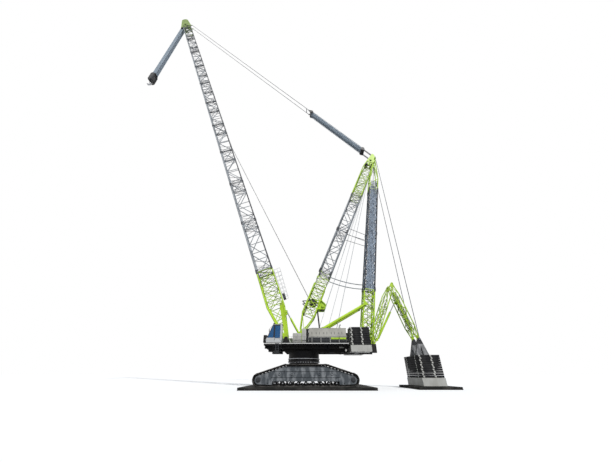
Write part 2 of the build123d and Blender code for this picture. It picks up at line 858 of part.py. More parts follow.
with BuildPart() as boom_head:
    stations = [
        (boom_head_start, -boom_depth / 2, boom_depth / 2, boom_width / 2),
        (boom_head_start + 60, -boom_depth / 2, boom_depth / 2, boom_width / 2),
        (boom_head_start + 270, -boom_depth / 2 + 20, boom_depth / 2 - 10, head_cheek_y),
    ]
    add(lattice(boom_frame, stations, boom_chord_radius, boom_lace, 15, open_bays=(1,)))
    for side in (1, -1):
        with BuildSketch(boom_frame.offset(-side * head_cheek_y)):
            with Locations((boom_head_axis, 0)):
                Circle(boom_head_nose)
            with Locations((head_sheave_along, head_sheave_rear)):
                Circle(40)
            with Locations((stay_along, head_cross_beam_rear)):
                Circle(46)
            with Locations((boom_head_start + 250, boom_depth / 2 - 30), (boom_head_start + 250, -boom_depth / 2 + 34)):
                Circle(24)
            make_hull()
            with Locations((head_sheave_along + 60, 25)):
                Circle(58, mode=Mode.SUBTRACT)
            with Locations((head_sheave_along + 250, -40)):
                Circle(62, mode=Mode.SUBTRACT)
        extrude(amount=head_cheek_thickness / 2, both=True)
    for along, rear, radius in (
        (head_sheave_along, head_sheave_rear, head_pin_radius - fit_gap),
        (boom_head_axis, 0, 18.0),
    ):
        add(
            tube(
                at(boom_frame, along, rear, head_cheek_y),
                at(boom_frame, along, rear, -head_cheek_y),
                radius,
            )
        )
    for side in (1, -1):
        with BuildSketch(boom_frame.offset(-side * nose_sheave_radius / 3)):
            with Locations((boom_head_axis, 0)):
                Circle(nose_sheave_radius)
        extrude(amount=9, both=True)
        with BuildSketch(boom_frame.offset(-side * stay_lug_y)):
            with Locations((stay_along - 40, head_cross_beam_rear), (stay_along + 40, head_cross_beam_rear)):
                Circle(18)
            with Locations((stay_along, stay_rear)):
                Circle(19)
            make_hull()
        extrude(amount=stay_lug_thickness / 2, both=True)
    with BuildSketch(boom_frame):
        with Locations((stay_along, head_cross_beam_rear)):
            RectangleRounded(110, 40, 8)
        with Locations((boom_head_start + 300, -boom_depth / 2 + 40), (boom_head_axis - 140, 70)):
            Circle(15)
    extrude(amount=head_cheek_y, both=True)
save(boom_head, "boom_head")

head_sheave_pin = at(boom_frame, head_sheave_along, head_sheave_rear, 0)
sheave_half = hoist_pitch * hoist_falls / 2
with BuildPart() as head_sheaves:
    with BuildSketch(Plane.XZ):
        with Locations((head_sheave_pin.X, head_sheave_pin.Z)):
            Circle(head_sheave_radius - 12)
            Circle(head_pin_radius, mode=Mode.SUBTRACT)
    extrude(amount=sheave_half + 6, both=True)
    for index in range(hoist_falls):
        spot = (index - (hoist_falls - 1) / 2) * hoist_pitch
        with BuildSketch(Plane.XZ.offset(spot)):
            with Locations((head_sheave_pin.X, head_sheave_pin.Z)):
                Circle(head_sheave_radius)
                Circle(head_pin_radius, mode=Mode.SUBTRACT)
        extrude(amount=hoist_pitch / 3, both=True)
save(head_sheaves, "head_sheaves")

block_sheave_z = hook_block_top - 20.0 - head_sheave_radius
block_bottom = hook_block_top - hook_block_height
with BuildPart() as hook_block:
    for side in (1, -1):
        for y, inset, thickness in (
            (hook_plate_y, 0.0, hook_plate_thickness),
            (hook_plate_y + (hook_plate_thickness + hook_weight_thickness) / 2, 14.0, hook_weight_thickness),
        ):
            with BuildSketch(Plane.XZ.offset(-side * y)):
                with Locations((head_sheave_pin.X, block_sheave_z)):
                    Circle(head_sheave_radius + 18 - inset)
                with Locations((head_sheave_pin.X, block_bottom + hook_crosshead + inset)):
                    Circle(hook_crosshead)
                make_hull()
            extrude(amount=thickness / 2, both=True)
    with BuildSketch(Plane.XZ):
        with Locations((head_sheave_pin.X, block_sheave_z)):
            Circle(head_pin_radius)
    extrude(amount=hook_plate_y, both=True)
    for index in range(hoist_falls):
        spot = (index - (hoist_falls - 1) / 2) * hoist_pitch
        with BuildSketch(Plane.XZ.offset(spot)):
            with Locations((head_sheave_pin.X, block_sheave_z)):
                Circle(head_sheave_radius)
        extrude(amount=hoist_pitch / 3, both=True)
    with BuildSketch(Plane.XY.offset(hook_block_top - 12)):
        with Locations((head_sheave_pin.X, 0)):
            RectangleRounded(2 * head_sheave_radius + 16, 2 * hook_plate_y, 10)
    extrude(amount=12)
    with BuildSketch(Plane.XY.offset(block_bottom + 20)):
        with Locations((head_sheave_pin.X, 0)):
            Rectangle(1.3 * hook_crosshead, 2 * hook_plate_y)
            Circle(hook_shank_radius + running_gap, mode=Mode.SUBTRACT)
    extrude(amount=hook_crosshead)
save(hook_block, "hook_block")

hook_line = Plane(origin=(head_sheave_pin.X, 0, 0), x_dir=(1, 0, 0), z_dir=(0, 0, 1))
hook_saddle_z = block_bottom - hook_shank_length
with BuildPart() as hook:
    with BuildSketch(hook_line.offset(block_bottom + 20 + hook_crosshead + running_gap)):
        Circle(hook_nut_radius)
    extrude(amount=16)
    with BuildSketch(hook_line.offset(hook_saddle_z)):
        Circle(hook_shank_radius)
    extrude(amount=hook_shank_length + 30 + hook_crosshead)
    with BuildSketch(Plane.XZ):
        reach = 2 * hook_bowl_radius + hook_shank_radius + hook_horn
        with Locations((head_sheave_pin.X, hook_saddle_z)):
            Circle(reach)
            with Locations((0, reach / 2 + 0.35 * hook_bowl_radius)):
                Rectangle(2 * reach, reach, mode=Mode.SUBTRACT)
            for side in (1, -1):
                with Locations((side * (hook_bowl_radius + 0.8 * hook_shank_radius), 0)):
                    Circle(hook_bowl_radius, mode=Mode.SUBTRACT)
                with Locations((side * (hook_bowl_radius + 0.8 * hook_shank_radius), hook_bowl_radius)):
                    Rectangle(2 * hook_bowl_radius - 2, 2 * hook_bowl_radius, mode=Mode.SUBTRACT)
    extrude(amount=hook_thickness / 2, both=True)
save(hook, "hook")
with BuildPart() as hoist_ropes:
    rope_bottom = hook_block_top + running_gap
    rope_top = head_sheave_pin.Z
    with BuildSketch(Plane.XY.offset(rope_bottom)):
        with Locations((head_sheave_pin.X, 0)):
            with GridLocations(2 * (head_sheave_radius + running_gap + rope_radius), hoist_pitch, 2, hoist_falls):
                Rectangle(2 * rope_radius, 2 * rope_radius)
    extrude(amount=rope_top - rope_bottom)
save(hoist_ropes, "hoist_ropes")

# hoist lines from the drum in the mast foot up the rear face of the boom, over guide rollers, to the nose
line_from = at(mast_frame, winch_along, -hoist_drum_radius, 0) - boom_foot_pin
line_foot_along = line_from.dot(boom_frame.x_dir)
line_foot_rear = line_from.dot(boom_frame.y_dir)
roller_rear = boom_depth / 2 + boom_lace / 2 + running_gap + guide_roller_radius
line_rear = roller_rear + guide_roller_radius + running_gap + hoist_line_radius
line_slope = (line_foot_rear - line_rear) / (first_roller_along - line_foot_along)
line_start_rear = line_rear + line_slope * (first_roller_along - boom_foot_length)
last_roller_along = stay_along + 100
roller_step = (boom_head_start - 100 - first_roller_along) / 3
rope_places = (
    (boom_foot_length, line_start_rear),
    (first_roller_along, line_rear),
    (last_roller_along, line_rear),
    (boom_head_axis, nose_sheave_radius + hoist_line_radius + 2),
)
with BuildPart() as hoist_lines:
    for side in (1, -1):
        ends = [at(boom_frame, along, rear, side * nose_sheave_radius / 3) for along, rear in rope_places]
        for start, end in zip(ends, ends[1:]):
            add(tube(start, end, hoist_line_radius))
    for index in range(4):
        along = first_roller_along + index * roller_step
        half = boom_width / 2 - boom_chord_radius + 1
        add(tube(at(boom_frame, along, roller_rear, half), at(boom_frame, along, roller_rear, -half), guide_roller_radius))
    half = head_cheek_y - head_cheek_thickness / 2 - running_gap
    start, end = (at(boom_frame, last_roller_along, roller_rear, side * half) for side in (1, -1))
    add(tube(start, end, guide_roller_radius))
save(hoist_lines, "hoist_lines")

# ---------------------------------------------------------------- mast
mast_stations = [
    (30.0, -30.0, 30.0, mast_width / 2),
    (320.0, -mast_depth / 2, mast_depth / 2, mast_width / 2),
]
mast_bay = 287.0
while mast_stations[-1][0] + mast_bay < mast_foot_section + 1:
    mast_stations.append((mast_stations[-1][0] + mast_bay, *mast_stations[1][1:]))
mast_foot_end = mast_stations[-1][0]
with BuildPart() as mast_foot:
    add(lattice(mast_frame, mast_stations, mast_chord_radius, mast_lace, 12, open_bays=(0,)))
save(mast_foot, "mast_foot")
mast_middle_end = mast_length - mast_head_length
with BuildPart() as mast_middle:
    stations = straight_stations(mast_foot_end, mast_middle_end, 7, mast_depth, mast_width)
    add(lattice(mast_frame, stations, mast_chord_radius, mast_lace, 12))
save(mast_middle, "mast_middle")
with BuildPart() as mast_head:
    stations = straight_stations(mast_middle_end, mast_length - 480, 4, mast_depth, mast_width)
    stations.append((mast_length - 120, -60.0, 60.0, 100.0))
    add(lattice(mast_frame, stations, mast_chord_radius, mast_lace, 12))
    for side in (1, -1):
        with BuildSketch(mast_frame.offset(-side * mast_cheek_y)):
            with BuildLine():
                Polyline(
                    (mast_length - 250, 90),
                    (mast_length - 250, -84),
                    (mast_length - 10, -44),
                    (tackle_pivot_along, -32),
                    (tackle_pivot_along, 32),
                    (mast_length - 10, 100),
                    (mast_length - strut_pin_drop, strut_pin_rear + 30),
                    close=True,
                )
            make_face()
            with Locations((tackle_pivot_along, 0)):
                Circle(34)
            with Locations((mast_length - strut_pin_drop, strut_pin_rear)):
                Circle(30)
            with Locations((ballast_pin_along, ballast_pin_rear)):
                Circle(30)
            with Locations((mast_length - 190, 0)):
                Circle(34, mode=Mode.SUBTRACT)
        extrude(amount=mast_cheek_thickness / 2, both=True)
    add(
        tube(
            at(mast_frame, tackle_pivot_along, 0, mast_cheek_y),
            at(mast_frame, tackle_pivot_along, 0, -mast_cheek_y),
            tackle_pin_radius - fit_gap,
        )
    )
    for side in (1, -1):
        add(
            tube(
                at(mast_frame, ballast_pin_along, ballast_pin_rear, side * mast_cheek_y),
                at(mast_frame, ballast_pin_along, ballast_pin_rear, side * (ballast_pendant_y - 8 - running_gap)),
                14,
            )
        )
    with BuildSketch(Plane.XZ):
        with Locations((strut_head_pin.X, strut_head_pin.Z)):
            Circle(strut_pin_radius - fit_gap)
    extrude(amount=mast_cheek_y, both=True)
save(mast_head, "mast_head")

# ---------------------------------------------------------------- rear strut
strut_length = strut_line.length
strut_middle_end = strut_length - strut_head_length
cylinder_head = at(strut_frame, cylinder_head_along, cylinder_head_rear, 0)
strut_taper_start = strut_length - 640.0
strut_eye_y = 72.0
with BuildPart() as strut_foot:
    stations = straight_stations(0, strut_foot_section, 4, strut_depth, strut_width)
    add(lattice(strut_frame, stations, strut_chord_radius, strut_lace, 12))
    for side in (1, -1):
        with BuildSketch(strut_frame.offset(-side * strut_width / 2)):
            with Locations((cylinder_head_along, cylinder_head_rear)):
                Circle(26)
            with Locations((cylinder_head_along - 60, -strut_depth / 2), (cylinder_head_along + 60, -strut_depth / 2)):
                Circle(strut_chord_radius - 2)
            make_hull()
        extrude(amount=-side * (strut_chord_radius - 1))
save(strut_foot, "strut_foot")
with BuildPart() as strut_middle:
    stations = straight_stations(strut_foot_section, strut_middle_end, 12, strut_depth, strut_width)
    add(lattice(strut_frame, stations, strut_chord_radius, strut_lace, 12))
save(strut_middle, "strut_middle")
with BuildPart() as strut_head:
    stations = straight_stations(strut_middle_end, strut_taper_start, 2, strut_depth, strut_width)
    stations.append((strut_length - 60, -26.0, 26.0, strut_eye_y))
    add(lattice(strut_frame, stations, strut_chord_radius, strut_lace, 12))
    for side in (1, -1):
        with BuildSketch(strut_frame.offset(-side * strut_eye_y)):
            with BuildLine():
                Polyline(
                    (strut_length - 90, -34),
                    (strut_length - 90, 34),
                    (strut_length, 26),
                    (strut_length, -26),
                    close=True,
                )
            make_face()
            with Locations((strut_length, 0)):
                Circle(26)
                Circle(strut_pin_radius, mode=Mode.SUBTRACT)
        extrude(amount=9, both=True)
save(strut_head, "strut_head")

# ---------------------------------------------------------------- parts between mast and strut
with BuildPart() as cross_ties:
    for side in (1, -1):
        for drop in (0, 150):
            start = at(mast_frame, tie_along - drop, mast_depth / 2 + mast_chord_radius + 1.4, side * mast_width / 2)
            end_along = tie_strut_along - drop
            end = at(strut_frame, end_along, -strut_depth / 2 - strut_chord_radius - 1.4, side * strut_width / 2)
            add(tube(start, end, tie_radius))
save(cross_ties, "cross_ties")

with BuildPart() as mast_cylinders:
    for side in (1, -1):
        cylinder_y = strut_width / 2 + strut_chord_radius + running_gap + cylinder_half
        low = Vector(cylinder_foot_x, side * cylinder_y, cylinder_foot_z)
        high = Vector(cylinder_head.X, side * cylinder_y, cylinder_head.Z)
        line = high - low
        add(tube(low + line * 0.03, low + line * cylinder_barrel_share, cylinder_radius))
        add(tube(low + line * (cylinder_barrel_share - 0.03), low + line * cylinder_barrel_share, cylinder_radius + 4))
        add(tube(low + line * 0.8, high - line * 0.02, cylinder_radius * 0.5))
        for pin in (low, high):
            with BuildSketch(Plane.XZ.offset(-pin.Y)):
                with Locations((pin.X, pin.Z)):
                    Circle(30)
            extrude(amount=cylinder_half, both=True)
        with BuildSketch(Plane.XZ.offset(-side * (cylinder_y + cylinder_half + running_gap + 6))):
            with BuildLine():
                Polyline(
                    (cylinder_foot_x - 110, deck_top),
                    (cylinder_foot_x + 60, deck_top),
                    (cylinder_foot_x + 30, cylinder_foot_z),
                    (cylinder_foot_x - 30, cylinder_foot_z),
                    close=True,
                )
            make_face()
            with Locations((cylinder_foot_x, cylinder_foot_z)):
                Circle(30)
        extrude(amount=6, both=True)
save(mast_cylinders, "mast_cylinders")

with BuildPart() as mast_winch:
    drum = at(mast_frame, winch_along, mast_depth / 2 + winch_standoff, 0)
    with BuildSketch(Plane.XZ):
        with Locations((drum.X, drum.Z)):
            Circle(winch_radius)
    extrude(amount=winch_half_width, both=True)
    for side in (1, -1):
        with BuildSketch(mast_frame.offset(-side * (winch_half_width + 6))):
            with BuildLine():
                Polyline(
                    (winch_along - 90, mast_depth / 2 + mast_chord_radius + 4),
                    (winch_along + 90, mast_depth / 2 + mast_chord_radius + 4),
                    (winch_along + 40, mast_depth / 2 + winch_standoff + 40),
                    (winch_along - 40, mast_depth / 2 + winch_standoff + 40),
                    close=True,
                )
            make_face()
        extrude(amount=6, both=True)
    with BuildSketch(mast_frame):
        for step in (80, -80):
            with Locations((winch_along + step, mast_depth / 2 + mast_chord_radius + 10)):
                Rectangle(20, 20)
    extrude(amount=mast_width / 2, both=True)
save(mast_winch, "mast_winch")

# ---------------------------------------------------------------- deck winches
with BuildPart() as deck_winches:
    for drum_x in deck_drum_x:
        with BuildSketch(Plane.XZ):
            with Locations((drum_x, deck_drum_z)):
                Circle(deck_drum_radius)
        extrude(amount=deck_drum_half_width, both=True)
        for side in (1, -1):
            with BuildSketch(Plane.XZ.offset(-side * (deck_drum_half_width - 5))):
                with Locations((drum_x, deck_drum_z)):
                    Circle(deck_drum_flange)
            extrude(amount=4, both=True)
        for side in (1, -1):
            with BuildSketch(Plane.XZ.offset(-side * (deck_drum_half_width + 5))):
                with BuildLine():
                    Polyline(
                        (drum_x - 60, deck_top),
                        (drum_x + 60, deck_top),
                        (drum_x + 60, deck_drum_z),
                        (drum_x - 60, deck_drum_z),
                        close=True,
                    )
                make_face()
                with Locations((drum_x, deck_drum_z)):
                    Circle(60)
            extrude(amount=5, both=True)
save(deck_winches, "deck_winches")

# ---------------------------------------------------------------- luffing tackle
tackle_pivot = at(mast_frame, tackle_pivot_along, 0, 0)
stay_pin = at(boom_frame, stay_along, stay_rear, 0)
tackle_line = stay_pin - tackle_pivot
pendant_length = tackle_line.length - tackle_length
tackle_frame = Plane(origin=tackle_pivot, x_dir=tackle_line, z_dir=(0, -1, 0))
stay_eye_y = stay_lug_y + stay_lug_thickness + running_gap

rear_block_along = block_start + tackle_block_length / 2
front_block_along = tackle_length - lug_reach - tackle_block_length / 2


def sheave_block(centre, shift, tie):
    """The sheaves, shaft, cheeks and tie bar of a tackle block, along the tackle's own frame."""
    parts = []
    middle = (luffing_falls - 1) / 2
    for index in range(luffing_falls):
        y = (index - middle) * luffing_rope_pitch + shift
        half = Vector(0, tackle_sheave_width / 2, 0)
        spot = at(tackle_frame, centre, 0, y)
        parts.append(tube(spot - half, spot + half, tackle_sheave_radius))
    for reach, radius in ((0, tackle_shaft_radius), (tie, tackle_tie_radius)):
        spot = at(tackle_frame, centre + reach, 0, 0)
        half = Vector(0, tackle_half_width, 0)
        parts.append(tube(spot - half, spot + half, radius))
    for side in (1, -1):
        with BuildPart() as cheek:
            with BuildSketch(tackle_frame.offset(-side * tackle_half_width)):
                with Locations((centre, 0)):
                    Circle(tackle_sheave_radius + 6)
                with Locations((centre + tie, 0)):
                    Circle(tackle_tie_radius + 6)
                make_hull()
            extrude(amount=4, both=True)
        parts.append(cheek.part)
    return parts


with BuildPart() as tackle_rear_block:
    add(sheave_block(rear_block_along, 0, -tackle_tie_reach))
    for side in (1, -1):
        with BuildSketch(tackle_frame.offset(-side * tackle_arm_y)):
            with BuildLine():
                Polyline(
                    (0, -20),
                    (rear_block_along - tackle_tie_reach, -16),
                    (rear_block_along - tackle_tie_reach, 16),
                    (0, 20),
                    close=True,
                )
            make_face()
            Circle(20)
            Circle(tackle_pin_radius, mode=Mode.SUBTRACT)
        extrude(amount=7, both=True)
save(tackle_rear_block, "tackle_rear_block")

with BuildPart() as tackle_front_block:
    add(sheave_block(front_block_along, luffing_rope_pitch / 2, tackle_tie_reach))
    for side in (1, -1):
        with BuildSketch(tackle_frame.offset(-side * stay_lug_y)):
            with BuildLine():
                Polyline(
                    (front_block_along + tackle_tie_reach, -16),
                    (tackle_length, -18),
                    (tackle_length, 18),
                    (front_block_along + tackle_tie_reach, 16),
                    close=True,
                )
            make_face()
            with Locations((tackle_length, 0)):
                Circle(18)
        extrude(amount=stay_lug_thickness / 2, both=True)
save(tackle_front_block, "tackle_front_block")

rope_middle = (rear_block_along + front_block_along) / 2
rope_level = tackle_sheave_radius + running_gap + rope_radius
for name, start, end, shift in (
    ("luffing_ropes_rear", rear_block_along, rope_middle - running_gap / 2, 0.0),
    ("luffing_ropes_front", rope_middle + running_gap / 2, front_block_along, luffing_rope_pitch / 2),
):
    with BuildPart() as luffing_ropes:
        planes = []
        for index in range(luffing_falls):
            for level in (rope_level, -rope_level):
                y = (index - (luffing_falls - 1) / 2) * luffing_rope_pitch + shift
                centre = at(tackle_frame, start, level, y)
                planes.append(Plane(origin=centre, x_dir=(0, 1, 0), z_dir=tackle_line))
        with BuildSketch(*planes):
            Rectangle(2 * rope_radius, 2 * rope_radius)
        extrude(amount=end - start)
    save(luffing_ropes, name)

with BuildPart() as boom_pendants:
    for side in (1, -1):
        y = side * stay_eye_y
        start = at(tackle_frame, tackle_length + 26, 0, y)
        end = at(tackle_frame, tackle_length + pendant_length - 26, 0, y)
        add(tube(start, end, pendant_radius))
        for along in (tackle_length, tackle_length + pendant_length):
            with BuildSketch(tackle_frame.offset(-y)):
                with Locations((along, 0)):
                    Circle(18)
                with Locations((along + (16 if along == tackle_length else -16), 0)):
                    Rectangle(32, 20)
            extrude(amount=stay_lug_thickness / 2, both=True)
    with BuildSketch(tackle_frame):
        with Locations((tackle_length + 120, 0)):
            Rectangle(14, 14)
    extrude(amount=stay_eye_y, both=True)
save(boom_pendants, "boom_pendants")

# ---------------------------------------------------------------- boom backstops
backstop_foot = Vector(backstop_foot_x, 0, backstop_foot_z)
backstop_eye = at(boom_frame, backstop_along, backstop_rear, 0)
backstop_line = backstop_eye - backstop_foot
backstop_direction = backstop_line.normalized()
with BuildPart() as backstop_barrels:
    for side in (1, -1):
        foot = backstop_foot + Vector(0, side * backstop_y, 0)
        add(tube(foot + backstop_direction * 30, foot + backstop_direction * backstop_barrel, backstop_radius))
        add(tube(foot, foot + backstop_direction * 36, 8.5))
        with BuildSketch(Plane.XZ.offset(-foot.Y)):
            with Locations((foot.X, foot.Z)):
                Circle(22)
        extrude(amount=9, both=True)
        with BuildSketch(Plane(origin=foot + backstop_direction * 40, z_dir=backstop_direction)):
            Circle(backstop_rod_radius + fit_gap)
        extrude(amount=backstop_barrel, mode=Mode.SUBTRACT)
save(backstop_barrels, "backstop_barrels")
with BuildPart() as backstop_rods:
    for side in (1, -1):
        foot = backstop_foot + Vector(0, side * backstop_y, 0)
        eye = backstop_eye + Vector(0, side * backstop_y, 0)
        add(tube(eye - backstop_direction * backstop_rod, eye, backstop_rod_radius))
        with BuildSketch(Plane.XZ.offset(-eye.Y)):
            with Locations((eye.X, eye.Z)):
                Circle(18)
        extrude(amount=8, both=True)
save(backstop_rods, "backstop_rods")

# ---------------------------------------------------------------- derrick ballast guide
guide_foot = Vector(guide_foot_x, 0, guide_foot_z)
guide_elbow = Vector(guide_elbow_x, 0, guide_elbow_z)
guide_end = Vector(guide_end_x, 0, guide_end_z)
guide_frame = Plane(origin=guide_foot, x_dir=guide_elbow - guide_foot, z_dir=(0, -1, 0))
drop_frame = Plane(origin=guide_elbow, x_dir=guide_end - guide_elbow, z_dir=(0, -1, 0))
guide_length = (guide_elbow - guide_foot).length
drop_length = (guide_end - guide_elbow).length


def guide_stations(length, depth, half):
    """Lattice stations of a guide link, narrow at both eyes."""
    bays = 4
    bay = (length - 2 * guide_taper) / bays
    stations = [(guide_taper + bay * index, -depth / 2, depth / 2, half) for index in range(bays + 1)]
    return [(50.0, -18.0, 18.0, half), *stations, (length - 50.0, -18.0, 18.0, half)]


for name, frame, length, half, open_bays, lug in (
    ("guide_link", guide_frame, guide_length, guide_outer_y, (0, 1, 5), guide_cylinder_along),
    ("guide_drop", drop_frame, drop_length, guide_inner_y, (0,), guide_eye_along),
):
    with BuildPart() as link:
        stations = guide_stations(length, guide_depth, half)
        add(lattice(frame, stations, guide_chord_radius, guide_lace, 10, open_bays))
        for side in (1, -1):
            with BuildSketch(frame.offset(-side * half)):
                with BuildLine():
                    Polyline((0, -22), (70, -30), (70, 30), (0, 22), close=True)
                make_face()
                with BuildLine():
                    Polyline(
                        (length, -22), (length, 22), (length - 70, 30), (length - 70, -30), close=True
                    )
                make_face()
                with Locations((0, 0), (length, 0)):
                    Circle(22)
                    Circle(guide_pin_radius, mode=Mode.SUBTRACT)
            extrude(amount=guide_eye_half, both=True)
            lug_y = side * (guide_lug_half + running_gap + 4)
            with BuildSketch(frame.offset(-lug_y)):
                with BuildLine():
                    Polyline(
                        (lug - 30, guide_depth / 2 - 6),
                        (lug + 30, guide_depth / 2 - 6),
                        (lug + 14, guide_cylinder_rear),
                        (lug - 14, guide_cylinder_rear),
                        close=True,
                    )
                make_face()
                with Locations((lug, guide_cylinder_rear)):
                    Circle(14)
            extrude(amount=4, both=True)
        start = at(frame, lug, guide_depth / 2, half)
        end = at(frame, lug, guide_depth / 2, -half)
        add(tube(start, end, guide_chord_radius - 1))
    save(link, name)

cylinder_base = at(guide_frame, guide_cylinder_along, guide_cylinder_rear, 0)
cylinder_eye = at(drop_frame, guide_eye_along, guide_eye_rear, 0)
cylinder_direction = (cylinder_eye - cylinder_base).normalized()
cylinder_length = (cylinder_eye - cylinder_base).length
with BuildPart() as guide_barrel:
    add(
        tube(
            cylinder_base + cylinder_direction * 34,
            cylinder_base + cylinder_direction * guide_barrel_length,
            guide_barrel_radius,
        )
    )
    add(tube(cylinder_base, cylinder_base + cylinder_direction * 40, guide_lug_half - 0.5))
    with BuildSketch(Plane.XZ):
        with Locations((cylinder_base.X, cylinder_base.Z)):
            Circle(14)
    extrude(amount=guide_lug_half, both=True)
    with BuildSketch(Plane(origin=cylinder_base + cylinder_direction * 44, z_dir=cylinder_direction)):
        Circle(guide_rod_radius + fit_gap)
    extrude(amount=guide_barrel_length, mode=Mode.SUBTRACT)
save(guide_barrel, "guide_barrel")
with BuildPart() as guide_rod:
    add(tube(cylinder_eye - cylinder_direction * guide_rod_length, cylinder_eye, guide_rod_radius))
    with BuildSketch(Plane.XZ):
        with Locations((cylinder_eye.X, cylinder_eye.Z)):
            Circle(14)
    extrude(amount=guide_lug_half, both=True)
save(guide_rod, "guide_rod")

# ---------------------------------------------------------------- derrick ballast
ballast_bottom = ground_top + float_gap
with BuildPart() as ballast_tray:
    with Locations((ballast_x, 0, ballast_bottom + tray_height / 2)):
        Box(ballast_length, 2 * ballast_half_width, tray_height)
save(ballast_tray, "ballast_tray")
with BuildPart() as derrick_ballast:
    for index in range(ballast_slab_count):
        bottom = ballast_bottom + tray_height + index * ballast_slab
        with Locations((ballast_x, 0, bottom + ballast_slab / 2)):
            Box(ballast_length - 6 * (index % 2), 2 * ballast_half_width - 6 * (index % 2), ballast_slab)
            with GridLocations(0.56 * ballast_length, 2 * ballast_half_width - 2, 2, 2):
                Box(34, 14, ballast_slab - 12)
    slabs_top = bottom + ballast_slab
save(derrick_ballast, "derrick_ballast")
with BuildPart() as ballast_yoke:
    yoke_inner_y = guide_inner_y - guide_eye_half - running_gap - 8
    yoke_outer_y = ballast_pendant_y - 8 - running_gap - 8
    for yoke_y in (yoke_inner_y, -yoke_inner_y, yoke_outer_y, -yoke_outer_y):
        with BuildSketch(Plane.XZ.offset(-yoke_y)):
            with BuildLine():
                Polyline(
                    (guide_end_x - yoke_foot_half, slabs_top),
                    (guide_end_x - yoke_notch_half, slabs_top),
                    (guide_end_x, guide_end_z - yoke_bridge),
                    (guide_end_x + yoke_notch_half, slabs_top),
                    (guide_end_x + yoke_foot_half, slabs_top),
                    (guide_end_x + 24, guide_end_z),
                    (guide_end_x - 24, guide_end_z),
                    close=True,
                )
            make_face()
            with Locations((guide_end_x, guide_end_z)):
                Circle(24)
        extrude(amount=8, both=True)
save(ballast_yoke, "ballast_yoke")

pendant_top = at(mast_frame, ballast_pin_along, ballast_pin_rear, 0)
with BuildPart() as ballast_pendants:
    for side in (1, -1):
        start = pendant_top + Vector(0, side * ballast_pendant_y, 0)
        end = Vector(guide_end_x, side * ballast_pendant_y, guide_end_z)
        add(tube(start, end, ballast_pendant_radius))
        for pin in (start, end):
            with BuildSketch(Plane.XZ.offset(-side * ballast_pendant_y)):
                with Locations((pin.X, pin.Z)):
                    Circle(15)
            extrude(amount=8, both=True)
save(ballast_pendants, "ballast_pendants")
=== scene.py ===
"""Finish, detail and lighting of a crawler crane scale model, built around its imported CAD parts.

+X points the way the boom leans, +Y to the cab side and +Z up. Tables hold millimetres; meshes hold metres.
"""

import json
import logging
from collections.abc import Iterable, Sequence
from dataclasses import dataclass, field
from enum import Enum
from functools import cache
from math import atan2, cos, hypot, pi, radians, sin

import bmesh
import bpy
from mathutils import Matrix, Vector

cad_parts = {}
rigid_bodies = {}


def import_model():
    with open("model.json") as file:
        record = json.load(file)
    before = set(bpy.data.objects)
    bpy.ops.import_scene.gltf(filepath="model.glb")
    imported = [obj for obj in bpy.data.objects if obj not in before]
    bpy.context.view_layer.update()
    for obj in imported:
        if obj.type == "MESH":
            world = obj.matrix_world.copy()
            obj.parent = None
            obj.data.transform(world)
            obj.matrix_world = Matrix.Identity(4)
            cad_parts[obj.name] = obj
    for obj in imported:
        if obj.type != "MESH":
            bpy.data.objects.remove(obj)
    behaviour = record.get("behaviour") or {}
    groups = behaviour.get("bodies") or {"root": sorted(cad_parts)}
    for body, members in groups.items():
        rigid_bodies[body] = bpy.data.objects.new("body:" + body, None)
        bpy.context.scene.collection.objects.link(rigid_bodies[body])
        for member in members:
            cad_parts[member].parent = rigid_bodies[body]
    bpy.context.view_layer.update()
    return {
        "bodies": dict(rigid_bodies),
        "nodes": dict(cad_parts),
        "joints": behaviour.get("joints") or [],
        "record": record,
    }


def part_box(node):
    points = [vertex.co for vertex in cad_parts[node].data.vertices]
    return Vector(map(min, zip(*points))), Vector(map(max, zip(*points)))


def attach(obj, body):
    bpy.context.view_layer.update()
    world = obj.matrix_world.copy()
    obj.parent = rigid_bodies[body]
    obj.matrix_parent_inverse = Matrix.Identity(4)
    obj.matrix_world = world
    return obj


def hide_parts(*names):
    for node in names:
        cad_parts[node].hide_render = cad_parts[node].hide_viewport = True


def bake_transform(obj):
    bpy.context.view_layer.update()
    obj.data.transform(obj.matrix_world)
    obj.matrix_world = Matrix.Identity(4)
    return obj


LOG = logging.getLogger("crane")
MM = 0.001

Socket = bpy.types.NodeSocket
Point = tuple[float, float, float]
Flat = tuple[float, float]
Bar = tuple[Vector, Vector, float]
Station = tuple[float, float, float, float]


# -------- members
@dataclass(frozen=True)
class Member:
    """The frame of a leaning lattice member.

    Attributes:
        foot: Foot pin as (x, z), in millimetres.
        angle: Its angle above +X, in degrees.
    """

    foot: Flat
    angle: float

    def at(self, along: float, rear: float = 0.0, side: float = 0.0) -> Vector:
        """The place so far along the member, to its rear and to its left, in millimetres."""
        c, s = cos(radians(self.angle)), sin(radians(self.angle))
        return Vector((self.foot[0] + along * c - rear * s, side, self.foot[1] + along * s + rear * c))

    @property
    def line(self) -> Vector:
        """Unit vector along the member."""
        return self.at(1.0) - self.at(0.0)

    @property
    def back(self) -> Vector:
        """Unit vector to the member's rear."""
        return self.at(0.0, 1.0) - self.at(0.0)


BOOM = Member((300.0, 700.0), 68.6)
MAST = Member((50.0, 810.0), 112.74)
STRUT = Member((-1080.0, 690.0), 99.742)
TACKLE = Member((-1782.25, 5181.55), 50.6006)
GUIDE = Member((-1120.0, 560.0), 115.834)
DROP = Member((-1655.0, 1665.0), 253.551)

BOOM_STOPS = [1330.0 + 1195.0 * index for index in range(11)]
BOOM_SIZE = (300.0, 320.0)
MAST_SIZE = (220.0, 260.0)
STRUT_SIZE = (190.0, 200.0)
HOOK_X = 5438.60
HEAD_PIN_Z = 13250.32
BLOCK_TOP_Z = 9440.3
DECK_TOP = 620.0
DECK_EDGE = 400.0
HOUSE_FACE = 395.0
TRACK_MIDDLE = 430.0
DRUMS_X = (-240.0, -400.0, -560.0)

